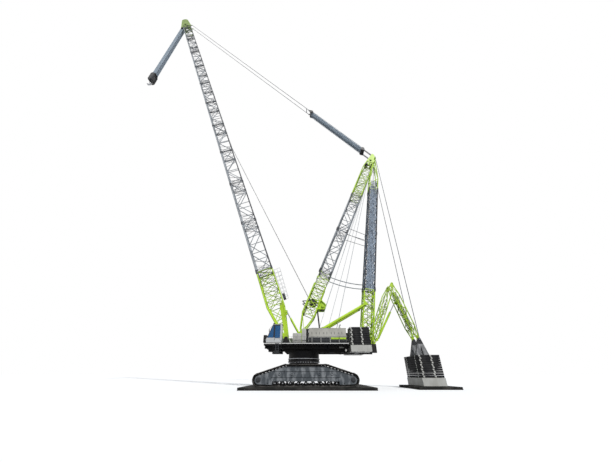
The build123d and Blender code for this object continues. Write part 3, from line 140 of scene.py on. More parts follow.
SIDES = ((1, "left"), (-1, "right"))
UNTURNED = (0.0, 0.0, 0.0)
CLOSED = 0.01  # radius at which a turned form counts as closed


# -------- finishes
GLASS_IOR = 1.45
NOISE_DETAIL = 5.0
FINE_NOISE = 14.0  # scale of the bump's noise to that of the colour's
BUMP_HEIGHT = 0.002  # in metres
WEAR_AND_PAINTED_LIGHT_RAMP = (0.38, 0.56)  # noise values where the colour of wear and painted light ends and the main one starts
ZONE_SHADE = 0.55  # darker mottled places in a zone, as a share of its colour


def placed(name: str, data: bpy.types.ID) -> bpy.types.Object:
    """Puts a mesh, a light or a camera into the scene.

    Args:
        name: Name of the object.
        data: What it holds.

    Returns:
        The object.
    """
    made = bpy.data.objects.new(name, data)
    bpy.context.collection.objects.link(made)
    return made


def put(node: bpy.types.Node, values: dict[str, object]) -> None:
    """Sets inputs of a node by their names."""
    for label, content in values.items():
        node.inputs[label].default_value = content


@dataclass(frozen=True)
class Band:
    """A test on how far a place lies from a plane.

    Attributes:
        axis: Unit normal of the plane.
        middle: Distance of the plane from the origin, in millimetres.
        reach: Distance from the plane, in millimetres.
        beyond: True where places beyond the reach pass, False where those within it pass.
    """

    axis: Point
    middle: float
    reach: float
    beyond: bool = True


def chord_zones(member: Member, size: Flat, inset: float, solid: Flat) -> tuple[tuple[Band, ...], ...]:
    """Zones that cover the chords of a member and one plain stretch of it.

    Args:
        member: The member.
        size: Depth and width between its chord lines.
        inset: How far a zone reaches inwards from the chord lines.
        solid: Start and end of the plain stretch along the member.

    Returns:
        Groups of tests; a place is in the zones if it passes a whole group.
    """
    line, back, foot = member.line, member.back, member.at(0.0)
    deep = Band(tuple(back), foot.dot(back), size[0] / 2 - inset)
    wide = Band((0.0, 1.0, 0.0), 0.0, size[1] / 2 - inset)
    stretch = Band(tuple(line), foot.dot(line) + sum(solid) / 2, (solid[1] - solid[0]) / 2, False)
    return (deep, wide), (stretch,)


@dataclass(frozen=True)
class Finish:
    """A painted, bare or wooden surface.

    Attributes:
        name: Name of the material.
        colour: Base colour, linear.
        wear_and_painted_light: Colour that the noise blends towards: real wear in most finishes, painted shade in the
            laced lime finishes and the guide, painted highlights on the crawler frames.
        amount: How far the noise blends, 0 to 1.
        scale: Noise scale in object space.
        metallic: Metallic value.
        roughness: Mean roughness.
        bump: Strength of the fine bump.
        stretch: Scale of the noise along Z, below 1 for streaks that run down.
        clear: Transmission of glass.
        gloss: Specular level.
        slot: Material slot of the part's record, or none where its name is one; not used.
        second: Colour inside the zones.
        zones: Groups of tests for the second colour.
    """

    name: str
    colour: Point
    # Mottle colour: real wear in most finishes; painted shade in the laced lime finishes and the guide; painted
    # highlights on the crawler frames.
    wear_and_painted_light: Point
    amount: float = 0.35
    scale: float = 9.0
    metallic: float = 0.0
    roughness: float = 0.45
    bump: float = 0.05
    stretch: float = 0.5
    clear: float = 0.0
    gloss: float = 0.35
    slot: str = ""
    second: Point = (0.0, 0.0, 0.0)
    zones: tuple[tuple[Band, ...], ...] = ()

    @cache
    def material(self) -> bpy.types.Material:
        """Makes the material the first time and hands back the same one later.

        Returns:
            The material.
        """
        made = bpy.data.materials.new(self.name)
        made.use_nodes = True
        made.diffuse_color = (*self.colour, 1.0)
        nodes, links = made.node_tree.nodes, made.node_tree.links
        shader = nodes["Principled BSDF"]
        put(shader, {"Metallic": self.metallic, "Roughness": self.roughness, "Specular IOR Level": self.gloss})
        if self.clear:
            put(shader, {"Base Color": (*self.colour, 1.0), "Transmission Weight": self.clear, "IOR": GLASS_IOR})
            return made
        place = nodes.new("ShaderNodeTexCoord")
        spread = nodes.new("ShaderNodeMapping")
        put(spread, {"Scale": (1.0, 1.0, self.stretch)})
        links.new(place.outputs["Object"], spread.inputs["Vector"])
        coarse = nodes.new("ShaderNodeTexNoise")
        put(coarse, {"Scale": self.scale, "Detail": NOISE_DETAIL})
        links.new(spread.outputs["Vector"], coarse.inputs["Vector"])
        colour = self._ramp(made, coarse, self.colour, self.wear_and_painted_light)
        if self.zones:
            shaded = [part * ZONE_SHADE for part in self.second]
            mixed = nodes.new("ShaderNodeMix")
            mixed.data_type = "RGBA"
            links.new(self._mask(made, place), mixed.inputs["Factor"])
            links.new(colour, mixed.inputs["A"])
            links.new(self._ramp(made, coarse, self.second, shaded), mixed.inputs["B"])
            colour = mixed.outputs["Result"]
        links.new(colour, shader.inputs["Base Color"])
        fine = nodes.new("ShaderNodeTexNoise")
        put(fine, {"Scale": self.scale * FINE_NOISE})
        links.new(place.outputs["Object"], fine.inputs["Vector"])
        raised = nodes.new("ShaderNodeBump")
        put(raised, {"Strength": self.bump, "Distance": BUMP_HEIGHT})
        links.new(fine.outputs["Fac"], raised.inputs["Height"])
        links.new(raised.outputs["Normal"], shader.inputs["Normal"])
        return made

    def _ramp(
        self, made: bpy.types.Material, noise: bpy.types.Node, colour: Sequence[float], wear_and_painted_light: Sequence[float]
    ) -> Socket:
        """Adds a colour that the noise mottles with wear and painted light.

        Args:
            made: The material.
            noise: The noise.
            colour: Main colour.
            wear_and_painted_light: Colour of the mottled places, wear and painted light.

        Returns:
            The colour's socket.
        """
        ramp = made.node_tree.nodes.new("ShaderNodeValToRGB")
        low = [a + (b - a) * self.amount for a, b in zip(colour, wear_and_painted_light)]
        for stop, place, shade in zip(ramp.color_ramp.elements, WEAR_AND_PAINTED_LIGHT_RAMP, (low, colour)):
            stop.position = place
            stop.color = (*shade, 1.0)
        made.node_tree.links.new(noise.outputs["Fac"], ramp.inputs["Fac"])
        return ramp.outputs["Color"]

    def _mask(self, made: bpy.types.Material, place: bpy.types.Node) -> Socket:
        """Adds the mask of the zones.

        Args:
            made: The material.
            place: Node with the object coordinates.

        Returns:
            The mask's socket, 1 inside the zones.
        """
        nodes, links = made.node_tree.nodes, made.node_tree.links

        def sum_up(kind: str, first: Socket, second: Socket | float) -> Socket:
            """Adds a sum of two values.

            Args:
                kind: The operation.
                first: First value.
                second: Second value.

            Returns:
                The result's socket.
            """
            node = nodes.new("ShaderNodeMath")
            node.operation = kind
            links.new(first, node.inputs[0])
            if isinstance(second, float):
                node.inputs[1].default_value = second
            else:
                links.new(second, node.inputs[1])
            return node.outputs[0]

        whole = None
        for group in self.zones:
            passed = None
            for band in group:
                dot = nodes.new("ShaderNodeVectorMath")
                dot.operation = "DOT_PRODUCT"
                links.new(place.outputs["Object"], dot.inputs[0])
                dot.inputs[1].default_value = band.axis
                away = sum_up("SUBTRACT", dot.outputs["Value"], band.middle * MM)
                away = sum_up("ABSOLUTE", away, 0.0)
                test = sum_up("GREATER_THAN" if band.beyond else "LESS_THAN", away, band.reach * MM)
                passed = sum_up("MULTIPLY", passed, test) if passed else test
            whole = sum_up("MAXIMUM", whole, passed) if whole else passed
        return whole


LIME_COLOUR = (0.52, 0.78, 0.04)
# Darker lime of the laced stretches, which the laced finishes blotch towards near-black: painted shade inside the
# lattice. The near-black also fills the zones of yoke, house and cab.
LACED_SHADE_COLOUR = (0.40, 0.55, 0.09)
COAL_COLOUR = (0.022, 0.024, 0.027)


class Paint(Enum):
    """Every finish of the crane and its stage."""

    LIME = Finish("lime_paint", LIME_COLOUR, (0.26, 0.42, 0.04), 0.4, scale=5.0, roughness=0.38)
    # Laced lime finishes: painted shade on the lacing inside the lattice, plain lime in the zones on the chords and the
    # plain stretch.
    BOOM_FOOT = Finish(
        "lime_boom_foot", LACED_SHADE_COLOUR, COAL_COLOUR, 0.5, 5.0, slot="lime_paint", second=LIME_COLOUR,
        zones=chord_zones(BOOM, BOOM_SIZE, 28.0, (-100.0, 560.0)),
    )
    # Boom head: its zone is the nose, a darker, mottled olive as painted shade; the lattice below carries the laced
    # painted shade.
    BOOM_HEAD = Finish(
        "lime_boom_head", LACED_SHADE_COLOUR, COAL_COLOUR, 0.5, 7.0, slot="lime_paint", second=(0.26, 0.38, 0.08),
        zones=chord_zones(BOOM, BOOM_SIZE, -30.0, (13420.0, 14500.0)),
    )
    MAST_FOOT = Finish(
        "lime_mast_foot", LACED_SHADE_COLOUR, COAL_COLOUR, 0.5, 5.0, slot="lime_paint", second=LIME_COLOUR,
        zones=chord_zones(MAST, MAST_SIZE, 22.0, (-100.0, 310.0)),
    )
    MAST_HEAD = Finish(
        "lime_mast_head", LACED_SHADE_COLOUR, COAL_COLOUR, 0.5, 5.0, slot="lime_paint", second=LIME_COLOUR,
        zones=chord_zones(MAST, MAST_SIZE, 22.0, (4180.0, 4900.0)),
    )
    STRUT_ENDS = Finish(
        "lime_strut_ends", LACED_SHADE_COLOUR, COAL_COLOUR, 0.5, 5.0, slot="lime_paint", second=LIME_COLOUR,
        zones=chord_zones(STRUT, STRUT_SIZE, 24.0, (3650.0, 4500.0)),
    )
    # Guide lime blotched towards dark green: painted shade of its dense lacing.
    GUIDE = Finish("lime_guide", (0.54, 0.80, 0.05), (0.08, 0.14, 0.03), 0.5, 9.0, slot="lime_paint")
    GUIDE_SHADE = Finish("lime_shade", (0.36, 0.52, 0.06), (0.03, 0.05, 0.02), 0.6, 9.0, slot="lime_paint")
    GREY = Finish("lattice_grey", (0.40, 0.43, 0.46), (0.12, 0.13, 0.14), 0.6, scale=5.0, roughness=0.42)
    LACING = Finish("lacing_grey", (0.38, 0.42, 0.46), (0.12, 0.13, 0.14), 0.6, 5.0, slot="lattice_grey")
    YOKE = Finish(
        "yoke_grey", (0.14, 0.145, 0.15), (0.60, 0.60, 0.60), 0.5, 16.0, slot="lattice_grey", second=COAL_COLOUR,
        zones=((Band((0.0, 0.0, 1.0), 700.0, 75.0, False),),),
    )
    SHADE = Finish("chord_shade", (0.075, 0.08, 0.09), (0.02, 0.02, 0.025), 0.6, 5.0, slot="strut_grey")
    STRUT = Finish("strut_grey", (0.035, 0.04, 0.05), (0.012, 0.012, 0.016), 0.5, roughness=0.45)
    STEEL_BLUE = Finish("strut_lacing", (0.36, 0.44, 0.54), (0.06, 0.07, 0.09), 0.6, 8.0, slot="strut_grey")
    DARK = Finish("dark_steel", (0.030, 0.032, 0.036), (0.12, 0.11, 0.10), 0.4, roughness=0.5)
    SLAB = Finish(
        "cast_slab", (0.018, 0.018, 0.020), (0.05, 0.05, 0.05), 0.4, 14.0, roughness=0.7, gloss=0.1, slot="dark_steel"
    )
    BLACK = Finish("black_steel", (0.012, 0.012, 0.014), (0.05, 0.045, 0.04), 0.4, roughness=0.5, gloss=0.12)
    # Dark blue-grey crawler frames flecked with light grey: painted highlights.
    SLATE = Finish("slate_frames", (0.075, 0.085, 0.095), (0.46, 0.48, 0.50), 0.42, 17.0, gloss=0.2, slot="black_steel")
    TRACK = Finish("track_steel", (0.030, 0.029, 0.028), (0.14, 0.13, 0.12), 0.5, 22.0, 0.2, 0.5, 0.2, gloss=0.2)
    ROPE = Finish("wire_rope", (0.36, 0.43, 0.50), (0.20, 0.25, 0.30), 0.5, 60.0, 0.2, 0.45, 0.3, 1.0)
    PALE_ROPE = Finish("bright_rope", (0.42, 0.46, 0.50), (0.20, 0.22, 0.25), 0.5, 60.0, slot="wire_rope")
    PENDANT = Finish("pendant_steel", (0.13, 0.15, 0.18), (0.05, 0.05, 0.06), 0.4, roughness=0.4)
    HOUSE = Finish(
        "house_paint", (0.50, 0.49, 0.44), (0.28, 0.27, 0.24), 0.4, second=COAL_COLOUR,
        zones=((Band((0.0, 0.0, 1.0), 600.0, 102.0, False),),),
    )
    PANEL = Finish("panel_paint", (0.52, 0.52, 0.49), (0.30, 0.29, 0.26), 0.4, slot="house_paint")
    CAB = Finish(
        "cab_paint", (0.60, 0.61, 0.61), (0.40, 0.41, 0.41), 0.3, roughness=0.35, second=COAL_COLOUR,
        zones=((Band((0.0, 0.0, 1.0), 788.0, 96.0, False), Band((1.0, 0.0, 0.0), 490.0, 112.0, False)),),
    )
    SEAT = Finish("seat_fabric", (0.02, 0.02, 0.022), (0.06, 0.06, 0.06), 0.5, 60.0, 0.0, 0.9, 0.4, 1.0)
    TIMBER = Finish("timber", (0.020, 0.020, 0.019), (0.07, 0.065, 0.06), 0.6, 7.0, 0.0, 0.85, 0.5, 1.0, gloss=0.1)
    RUBBER = Finish("rubber", (0.012, 0.012, 0.012), (0.04, 0.04, 0.04), 0.5, 30.0, roughness=0.75, slot="black_steel")
    HOSE = Finish("pale_hose", (0.34, 0.38, 0.42), (0.20, 0.22, 0.25), 0.4, 20.0, slot="pendant_steel")
    BARE = Finish("bare_steel", (0.42, 0.43, 0.45), (0.20, 0.20, 0.21), 0.4, 20.0, 0.8, 0.3, slot="pendant_steel")
    WHITE = Finish("white_paint", (0.74, 0.74, 0.72), (0.50, 0.50, 0.48), 0.3, roughness=0.35, slot="cab_paint")
    LENS = Finish("lamp_lens", (0.75, 0.78, 0.80), (0.55, 0.58, 0.60), 0.3, roughness=0.12, slot="cab_paint")
    GLASS = Finish("cab_glass", (0.012, 0.12, 0.32), (0.0, 0.0, 0.0), roughness=0.08, clear=0.25)


# -------- forms
SMOOTH_ANGLE = 34.0  # edges sharper than this, in degrees, stay sharp
ROD_SMOOTH_ANGLE = 50.0
BEVEL_ANGLE = 35.0  # edges sharper than this are rounded
SAG_STEPS = 18


def turns_left(first: Flat, second: Flat, third: Flat) -> bool:
    """Whether a path through three flat points turns to the left."""
    ahead = (second[0] - first[0]) * (third[1] - first[1])
    return ahead - (second[1] - first[1]) * (third[0] - first[0]) > 0


def hull(points: Iterable[Flat]) -> list[Flat]:
    """Convex outline of flat points, anticlockwise.

    Args:
        points: Flat points.

    Returns:
        The outline's corners.
    """
    ordered = sorted(set(points))
    outline: list[Flat] = []
    for run in (ordered, ordered[::-1]):
        part: list[Flat] = []
        for point in run:
            while len(part) > 1 and not turns_left(part[-2], part[-1], point):
                part.pop()
            part.append(point)
        outline += part[:-1]
    return outline


def wheel_hull(wheels: Sequence[tuple[float, float, float]], grow: float, sides: int) -> list[Flat]:
    """Outline of a belt laid round wheels.

    Args:
        wheels: Each wheel's x, z and radius.
        grow: How far the outline lies outside the wheels.
        sides: Corners taken on each wheel.

    Returns:
        The outline's corners.
    """
    turn = 2 * pi / sides
    return hull(
        (x + (r + grow) * cos(turn * step), z + (r + grow) * sin(turn * step))
        for x, z, r in wheels
        for step in range(sides)
    )


def along_loop(loop: Sequence[Flat], spot: float) -> tuple[Flat, float]:
    """Place and heading at a share of a closed outline's length.

    Args:
        loop: The outline's corners.
        spot: Share of the length, 0 to 1.

    Returns:
        The place, and the angle of travel there.
    """
    pairs = list(zip(loop, [*loop[1:], loop[0]]))
    lengths = [hypot(b[0] - a[0], b[1] - a[1]) for a, b in pairs]
    left = (spot % 1.0) * sum(lengths)
    for (a, b), length in zip(pairs, lengths):
        if left <= length:
            share = left / length
            place = (a[0] + (b[0] - a[0]) * share, a[1] + (b[1] - a[1]) * share)
            return place, atan2(b[1] - a[1], b[0] - a[0])
        left -= length
    return loop[0], 0.0


@dataclass
class Shape:
    """A mesh put together from closed forms, in millimetres.

    Attributes:
        points: Vertices so far.
        faces: Faces so far.
    """

    points: list[Vector] = field(default_factory=list)
    faces: list[tuple[int, ...]] = field(default_factory=list)

    def _take(self, points: Sequence[Vector], faces: Iterable[tuple[int, ...]]) -> None:
        """Adds points, and faces that count from the first of them.

        Args:
            points: The points.
            faces: Each face's corners.
        """
        base = len(self.points)
        self.points += points
        self.faces += [tuple(base + index for index in face) for face in faces]

    def prism(self, base: Sequence[Vector], push: Vector) -> "Shape":
        """Adds a flat outline pushed along a vector.

        Args:
            base: The outline's corners.
            push: The way and distance it is pushed.

        Returns:
            The shape itself.
        """
        count = len(base)
        pairs = [(index, (index + 1) % count) for index in range(count)]
        sides = [(here, after, after + count, here + count) for here, after in pairs]
        caps = [tuple(range(count))[::-1], tuple(range(count, 2 * count))]
        self._take([*base, *(point + push for point in base)], [*caps, *sides])
        return self

    def box(self, low: Point, high: Point) -> "Shape":
        """Adds an upright box between two corners.

        Args:
            low: Lowest corner.
            high: Highest corner.

        Returns:
            The shape itself.
        """
        (a, b, c), (d, e, f) = low, high
        base = [Vector(p) for p in ((a, b, c), (d, b, c), (d, e, c), (a, e, c))]
        return self.prism(base, Vector((0, 0, f - c)))

    def bar(
        self, start: Vector, end: Vector, width: float, height: float, up: Vector | None = None
    ) -> "Shape":
        """Adds a square-edged bar between two points.

        Args:
            start: One end.
            end: Other end.
            width: Size across.
            height: Size towards up.
            up: Which way the height goes.

        Returns:
            The shape itself.
        """
        line = (end - start).normalized()
        across = line.cross(up or Vector((0, 0, 1)))
        if across.length < 0.01:
            across = line.cross(Vector((1, 0, 0)))
        across.normalize()
        rise = across.cross(line).normalized()
        signs = ((-1, -1), (1, -1), (1, 1), (-1, 1))
        corners = [start + across * (sx * width / 2) + rise * (sz * height / 2) for sx, sz in signs]
        return self.prism(corners, end - start)

    def lathe(self, centre: Vector, axis: Vector, profile: Sequence[Flat], sides: int) -> "Shape":
        """Adds a turned form.

        Args:
            centre: Where the profile's zero lies.
            axis: The way it is turned round.
            profile: Closed outline as (distance along the axis, radius).
            sides: Facets round it.

        Returns:
            The shape itself.
        """
        axis = axis.normalized()
        first = axis.orthogonal().normalized()
        second = axis.cross(first)
        points, faces = [], []
        count = len(profile)
        for step in range(sides):
            turn = 2 * pi * step / sides
            out = first * cos(turn) + second * sin(turn)
            points += [centre + axis * far + out * radius for far, radius in profile]
            after = (step + 1) % sides
            for index in range(count):
                other = (index + 1) % count
                near, far = step * count, after * count
                faces.append((near + index, near + other, far + other, far + index))
        self._take(points, faces)
        return self

    def tube(self, start: Vector, end: Vector, radius: float, sides: int, end_radius: float = 0.0) -> "Shape":
        """Adds a round bar, or a cone where an end radius is given, and returns the shape itself."""
        return self.sweep([start, end], radius, sides, end_radius)

    def sweep(self, path: Sequence[Vector], radius: float, sides: int, end_radius: float = 0.0) -> "Shape":
        """Adds a round bar along a path.

        Args:
            path: Points of the centreline.
            radius: Radius at the start.
            sides: Facets round it.
            end_radius: Radius at the end, or 0 for the same.

        Returns:
            The shape itself.
        """
        points, faces = [], []
        side = (path[1] - path[0]).orthogonal().normalized()
        last = len(path) - 1
        for index, point in enumerate(path):
            line = (path[min(index + 1, last)] - path[max(index - 1, 0)]).normalized()
            side = (side - line * side.dot(line)).normalized()
            other = line.cross(side)
            size = radius + ((end_radius or radius) - radius) * index / last
            for step in range(sides):
                turn = 2 * pi * step / sides
                points.append(point + (side * cos(turn) + other * sin(turn)) * size)
        for index in range(last):
            for step in range(sides):
                a, b = index * sides + step, index * sides + (step + 1) % sides
                faces.append((a, b, b + sides, a + sides))
        faces += [tuple(range(sides))[::-1], tuple(last * sides + step for step in range(sides))]
        self._take(points, faces)
        return self

    def build(self, name: str, paint: Paint, bevel: float = 0.0) -> bpy.types.Object:
        """Makes the scene object, its place in its vertices.

        Args:
            name: Name of the object.
            paint: Its finish.
            bevel: Width of the rounded edges in millimetres.

        Returns:
            The object.
        """
        mesh = bpy.data.meshes.new(name)
        mesh.from_pydata([point * MM for point in self.points], [], self.faces)
        shell = bmesh.new()
        shell.from_mesh(mesh)
        bmesh.ops.recalc_face_normals(shell, faces=shell.faces)
        if bevel:
            least = radians(BEVEL_ANGLE)
            edges = [edge for edge in shell.edges if edge.is_manifold and edge.calc_face_angle(0.0) > least]
            bmesh.ops.bevel(
                shell, geom=edges, offset=bevel * MM, segments=2, profile=0.6, affect="EDGES", clamp_overlap=True
            )
        shell.to_mesh(mesh)
        shell.free()
        mesh.shade_smooth()
        mesh.set_sharp_from_angle(angle=radians(SMOOTH_ANGLE))
        mesh.materials.append(paint.value.material())
        return placed(name, mesh)


def sagging(start: Vector, end: Vector, sag: float) -> list[Vector]:
    """A hanging line between two points.

    Args:
        start: One end.
        end: Other end.
        sag: How far its middle hangs below the straight line.

    Returns:
        Points along it.
    """
    drop = Vector((0, 0, -4 * sag))
    shares = [k / SAG_STEPS for k in range(SAG_STEPS + 1)]
    return [start.lerp(end, share) + drop * share * (1 - share) for share in shares]


# -------- geometry nodes
@dataclass
class Graph:
    """A geometry node group under construction.

    Attributes:
        name: Name of the group.
    """

    name: str

    def __post_init__(self) -> None:
        """Makes the group with one geometry input and one geometry output."""
        self.tree = bpy.data.node_groups.new(self.name, "GeometryNodeTree")
        self.sockets: dict[str, str] = {}
        self.entry = self.tree.nodes.new("NodeGroupInput")
        self.exit = self.tree.nodes.new("NodeGroupOutput")
        self.tree.interface.new_socket("Geometry", in_out="INPUT", socket_type="NodeSocketGeometry")
        self.tree.interface.new_socket("Geometry", in_out="OUTPUT", socket_type="NodeSocketGeometry")

    def value(self, label: str, kind: str) -> Socket:
        """Adds a named input.

        Args:
            label: Name of the input.
            kind: Socket type.

        Returns:
            The socket inside the group.
        """
        made = self.tree.interface.new_socket(label, in_out="INPUT", socket_type=kind)
        self.sockets[label] = made.identifier
        return self.entry.outputs[label]

    def node(self, kind: str, **inputs: object) -> bpy.types.Node:
        """Adds a node.

        Args:
            kind: Node type.
            inputs: Socket names, with spaces as underscores, and what feeds or sets them.

        Returns:
            The node.
        """
        made = self.tree.nodes.new(kind)
        for label, source in inputs.items():
            socket = made.inputs[label.replace("_", " ")]
            if isinstance(source, Socket):
                self.tree.links.new(source, socket)
            else:
                socket.default_value = source
        return made

    def named(self, attribute: str, kind: str) -> Socket:
        """Adds a reader of a stored attribute.

        Args:
            attribute: Name of the attribute.
            kind: Its data type.

        Returns:
            Its output.
        """
        made = self.tree.nodes.new("GeometryNodeInputNamedAttribute")
        made.data_type = kind
        put(made, {"Name": attribute})
        return next(s for s in made.outputs if s.enabled and s.name == "Attribute")

    def close(self, result: Socket) -> None:
        """Ends the group with real geometry and its finish.

        Args:
            result: Geometry to hand out.
        """
        real = self.node("GeometryNodeRealizeInstances", Geometry=result)
        paint = self.entry.outputs["Material"]
        finish = self.node("GeometryNodeSetMaterial", Geometry=real.outputs["Geometry"], Material=paint)
        self.tree.links.new(finish.outputs["Geometry"], self.exit.inputs["Geometry"])


def frozen(carrier: bpy.types.Object, graph: Graph, values: dict[str, object], smooth: float) -> bpy.types.Object:
    """Runs a node group on an object and keeps the result as a plain mesh.

    Args:
        carrier: The object that carries the group's geometry.
        graph: The group.
        values: Its inputs by name.
        smooth: Edges sharper than this angle in degrees stay sharp.

    Returns:
        The object with its final mesh and no modifier.
    """
    modifier = carrier.modifiers.new("nodes", "NODES")
    modifier.node_group = graph.tree
    for label, content in values.items():
        modifier[graph.sockets[label]] = content
    bpy.context.view_layer.update()
    mesh = bpy.data.meshes.new_from_object(carrier.evaluated_get(bpy.context.evaluated_depsgraph_get()))
    carrier.modifiers.clear()
    carrier.data = mesh
    mesh.shade_smooth()
    mesh.set_sharp_from_angle(angle=radians(smooth))
    return carrier


class Kit:
    """Node groups shared by every sub-assembly."""

    def __init__(self) -> None:
        """Makes the two groups."""
        rods = Graph("rods")
        sides = rods.value("Sides", "NodeSocketInt")
        rods.value("Material", "NodeSocketMaterial")
        curve = rods.node("GeometryNodeMeshToCurve", Mesh=rods.entry.outputs["Geometry"])
        sized = rods.node(
            "GeometryNodeSetCurveRadius", Curve=curve.outputs["Curve"], Radius=rods.named("thickness", "FLOAT")
        )
        ring = rods.node("GeometryNodeCurvePrimitiveCircle", Resolution=sides, Radius=1.0)
        skin = rods.node(
            "GeometryNodeCurveToMesh", Curve=sized.outputs["Curve"], Profile_Curve=ring.outputs["Curve"], Fill_Caps=True
        )
        if "Scale" in skin.inputs:
            radius = rods.tree.nodes.new("GeometryNodeInputRadius")
            rods.tree.links.new(radius.outputs["Radius"], skin.inputs["Scale"])
        rods.close(skin.outputs["Mesh"])
        self.rod_graph = rods

        spread = Graph("spread")
        piece = spread.value("Piece", "NodeSocketObject")
        spread.value("Material", "NodeSocketMaterial")
        info = spread.node("GeometryNodeObjectInfo", Object=piece)
        copies = spread.node(
            "GeometryNodeInstanceOnPoints",
            Points=spread.entry.outputs["Geometry"],
            Instance=info.outputs["Geometry"],
            Rotation=spread.named("turn", "FLOAT_VECTOR"),
        )
        spread.close(copies.outputs["Instances"])
        self.spread_graph = spread

    def rods(self, name: str, bars: Sequence[Bar], paint: Paint, sides: int = 10) -> bpy.types.Object:
        """Round bars between pairs of points, as one mesh.

        Args:
            name: Name of the object.
            bars: Start, end and radius of each bar, in millimetres.
            paint: Their finish.
            sides: Facets round each bar.

        Returns:
            The object.
        """
        mesh = bpy.data.meshes.new(name)
        points = [end * MM for bar in bars for end in bar[:2]]
        mesh.from_pydata(points, [(2 * k, 2 * k + 1) for k in range(len(bars))], [])
        thickness = mesh.attributes.new("thickness", "FLOAT", "POINT")
        thickness.data.foreach_set("value", [bar[2] * MM for bar in bars for _ in range(2)])
        values = {"Sides": sides, "Material": paint.value.material()}
        return frozen(placed(name, mesh), self.rod_graph, values, ROD_SMOOTH_ANGLE)

    def spread(
        self, name: str, piece: bpy.types.Object, spots: Sequence[tuple[Vector, Point]], paint: Paint
    ) -> bpy.types.Object:
        """Copies of one piece at many places, as one mesh.

        Args:
            name: Name of the object.
            piece: The piece, which is taken away afterwards.
            spots: Place in millimetres and turn in radians of each copy.
            paint: Their finish.

        Returns:
            The object.
        """
        mesh = bpy.data.meshes.new(name)
        mesh.from_pydata([spot * MM for spot, _ in spots], [], [])
        turn = mesh.attributes.new("turn", "FLOAT_VECTOR", "POINT")
        turn.data.foreach_set("vector", [value for _, angles in spots for value in angles])
        values = {"Piece": piece, "Material": paint.value.material()}
        made = frozen(placed(name, mesh), self.spread_graph, values, SMOOTH_ANGLE)
        bpy.data.objects.remove(piece)
        return made


# -------- lattices
@dataclass
class Truss:
    """Bars of a four-chord lattice.

    Attributes:
        member: The frame that it lies in.
        stations: (along, front, rear, half width) of each cross frame.
        chord: Radius of the chords.
        lace: Radius of the lacing.
        cross: True for crossed lacing, False for a single zigzag.
    """

    member: Member
    stations: Sequence[Station]
    chord: float
    lace: float
    cross: bool = False

    def rings(self) -> list[list[Vector]]:
        """Places the chords at every cross frame.

        Returns:
            Four points for each frame, the two front ones first.
        """
        found = []
        for along, front, rear, half in self.stations:
            places = ((front, half), (front, -half), (rear, -half), (rear, half))
            found.append([self.member.at(along, depth, side) for depth, side in places])
        return found

    def chords(self, front: bool) -> list[Bar]:
        """The two chords on one face.

        Args:
            front: True for the front face, False for the rear.

        Returns:
            Start, end and radius of each bar.
        """
        rings = self.rings()
        return [
            (low[corner], high[corner], self.chord)
            for low, high in zip(rings, rings[1:])
            for corner in ((0, 1) if front else (2, 3))
        ]

    def all_chords(self) -> list[Bar]:
        """All four chords."""
        return self.chords(front=True) + self.chords(front=False)

    def lacing(self, frames: Sequence[int] = ()) -> list[Bar]:
        """Every bar between the chords.

        Args:
            frames: Cross frames that also carry a diagonal.

        Returns:
            Start, end and radius of each bar.
        """
        rings = self.rings()
        found = []
        for bay, (low, high) in enumerate(zip(rings, rings[1:])):
            for corner in range(4):
                other = (corner + 1) % 4
                start, end = (corner, other) if (bay + corner) % 2 else (other, corner)
                found.append((low[start], high[end], self.lace))
                if self.cross:
                    found.append((low[end], high[start], self.lace))
        for index, ring in enumerate(rings):
            found += [(ring[corner], ring[(corner + 1) % 4], self.lace * 0.9) for corner in range(4)]
            if index in frames:
                found.append((ring[0], ring[2], self.lace * 0.8))
        return found


def even(start: float, end: float, bays: int, size: Flat) -> list[Station]:
    """Even cross frames of one depth and width from start to end, with a number of bays between them."""
    step = (end - start) / bays
    return [(start + step * index, -size[0] / 2, size[0] / 2, size[1] / 2) for index in range(bays + 1)]


def span(side: float, inner: float, outer: float) -> tuple[float, float]:
    """Lower and higher Y of a stretch that lies on the left (1) or on the right (-1)."""
    return min(side * inner, side * outer), max(side * inner, side * outer)


# -------- sub-assemblies
@dataclass
class Assembly:
    """A group of pieces that dress one part of the crane.

    Attributes:
        kit: The shared node groups.
    """

    kit: Kit
    frame: dict

    def dress(self) -> None:
        """Builds the group's pieces."""
        raise NotImplementedError

    def paint(self, paint: Paint, *nodes: str) -> None:
        """Gives CAD nodes a finish.

        Args:
            paint: The finish.
            nodes: Names of the nodes.
        """
        for node in nodes:
            mesh = self.frame["nodes"][node].data
            mesh.materials.clear()
            mesh.materials.append(paint.value.material())

    def add(self, shape: Shape, name: str, paint: Paint, body: str, bevel: float = 0.0) -> None:
        """Builds a shape, its edges rounded by a width in millimetres, and fixes it to a body."""
        self.fit(shape.build(name, paint, bevel), paint, body)

    def rods(
        self, name: str, bars: Sequence[Bar], paint: Paint, body: str, *replaced: str, sides: int = 10
    ) -> None:
        """Makes round bars, fixes them to a body and hides the CAD nodes that they stand for."""
        self.fit(self.kit.rods(name, bars, paint, sides), paint, body, *replaced)

    def fit(self, piece: bpy.types.Object, paint: Paint, body: str, *replaced: str) -> None:
        """Fixes a piece to a body and hides the CAD nodes that it stands for."""
        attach(piece, body)
        self.stand_for(piece, paint, *replaced)

    def stand_for(self, piece: bpy.types.Object, paint: Paint, *replaced: str) -> None:
        """Hides the CAD nodes that a piece stands for.

        Args:
            piece: The piece.
            paint: Not used.
            replaced: Names of the nodes.
        """
        if replaced:
            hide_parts(*replaced)


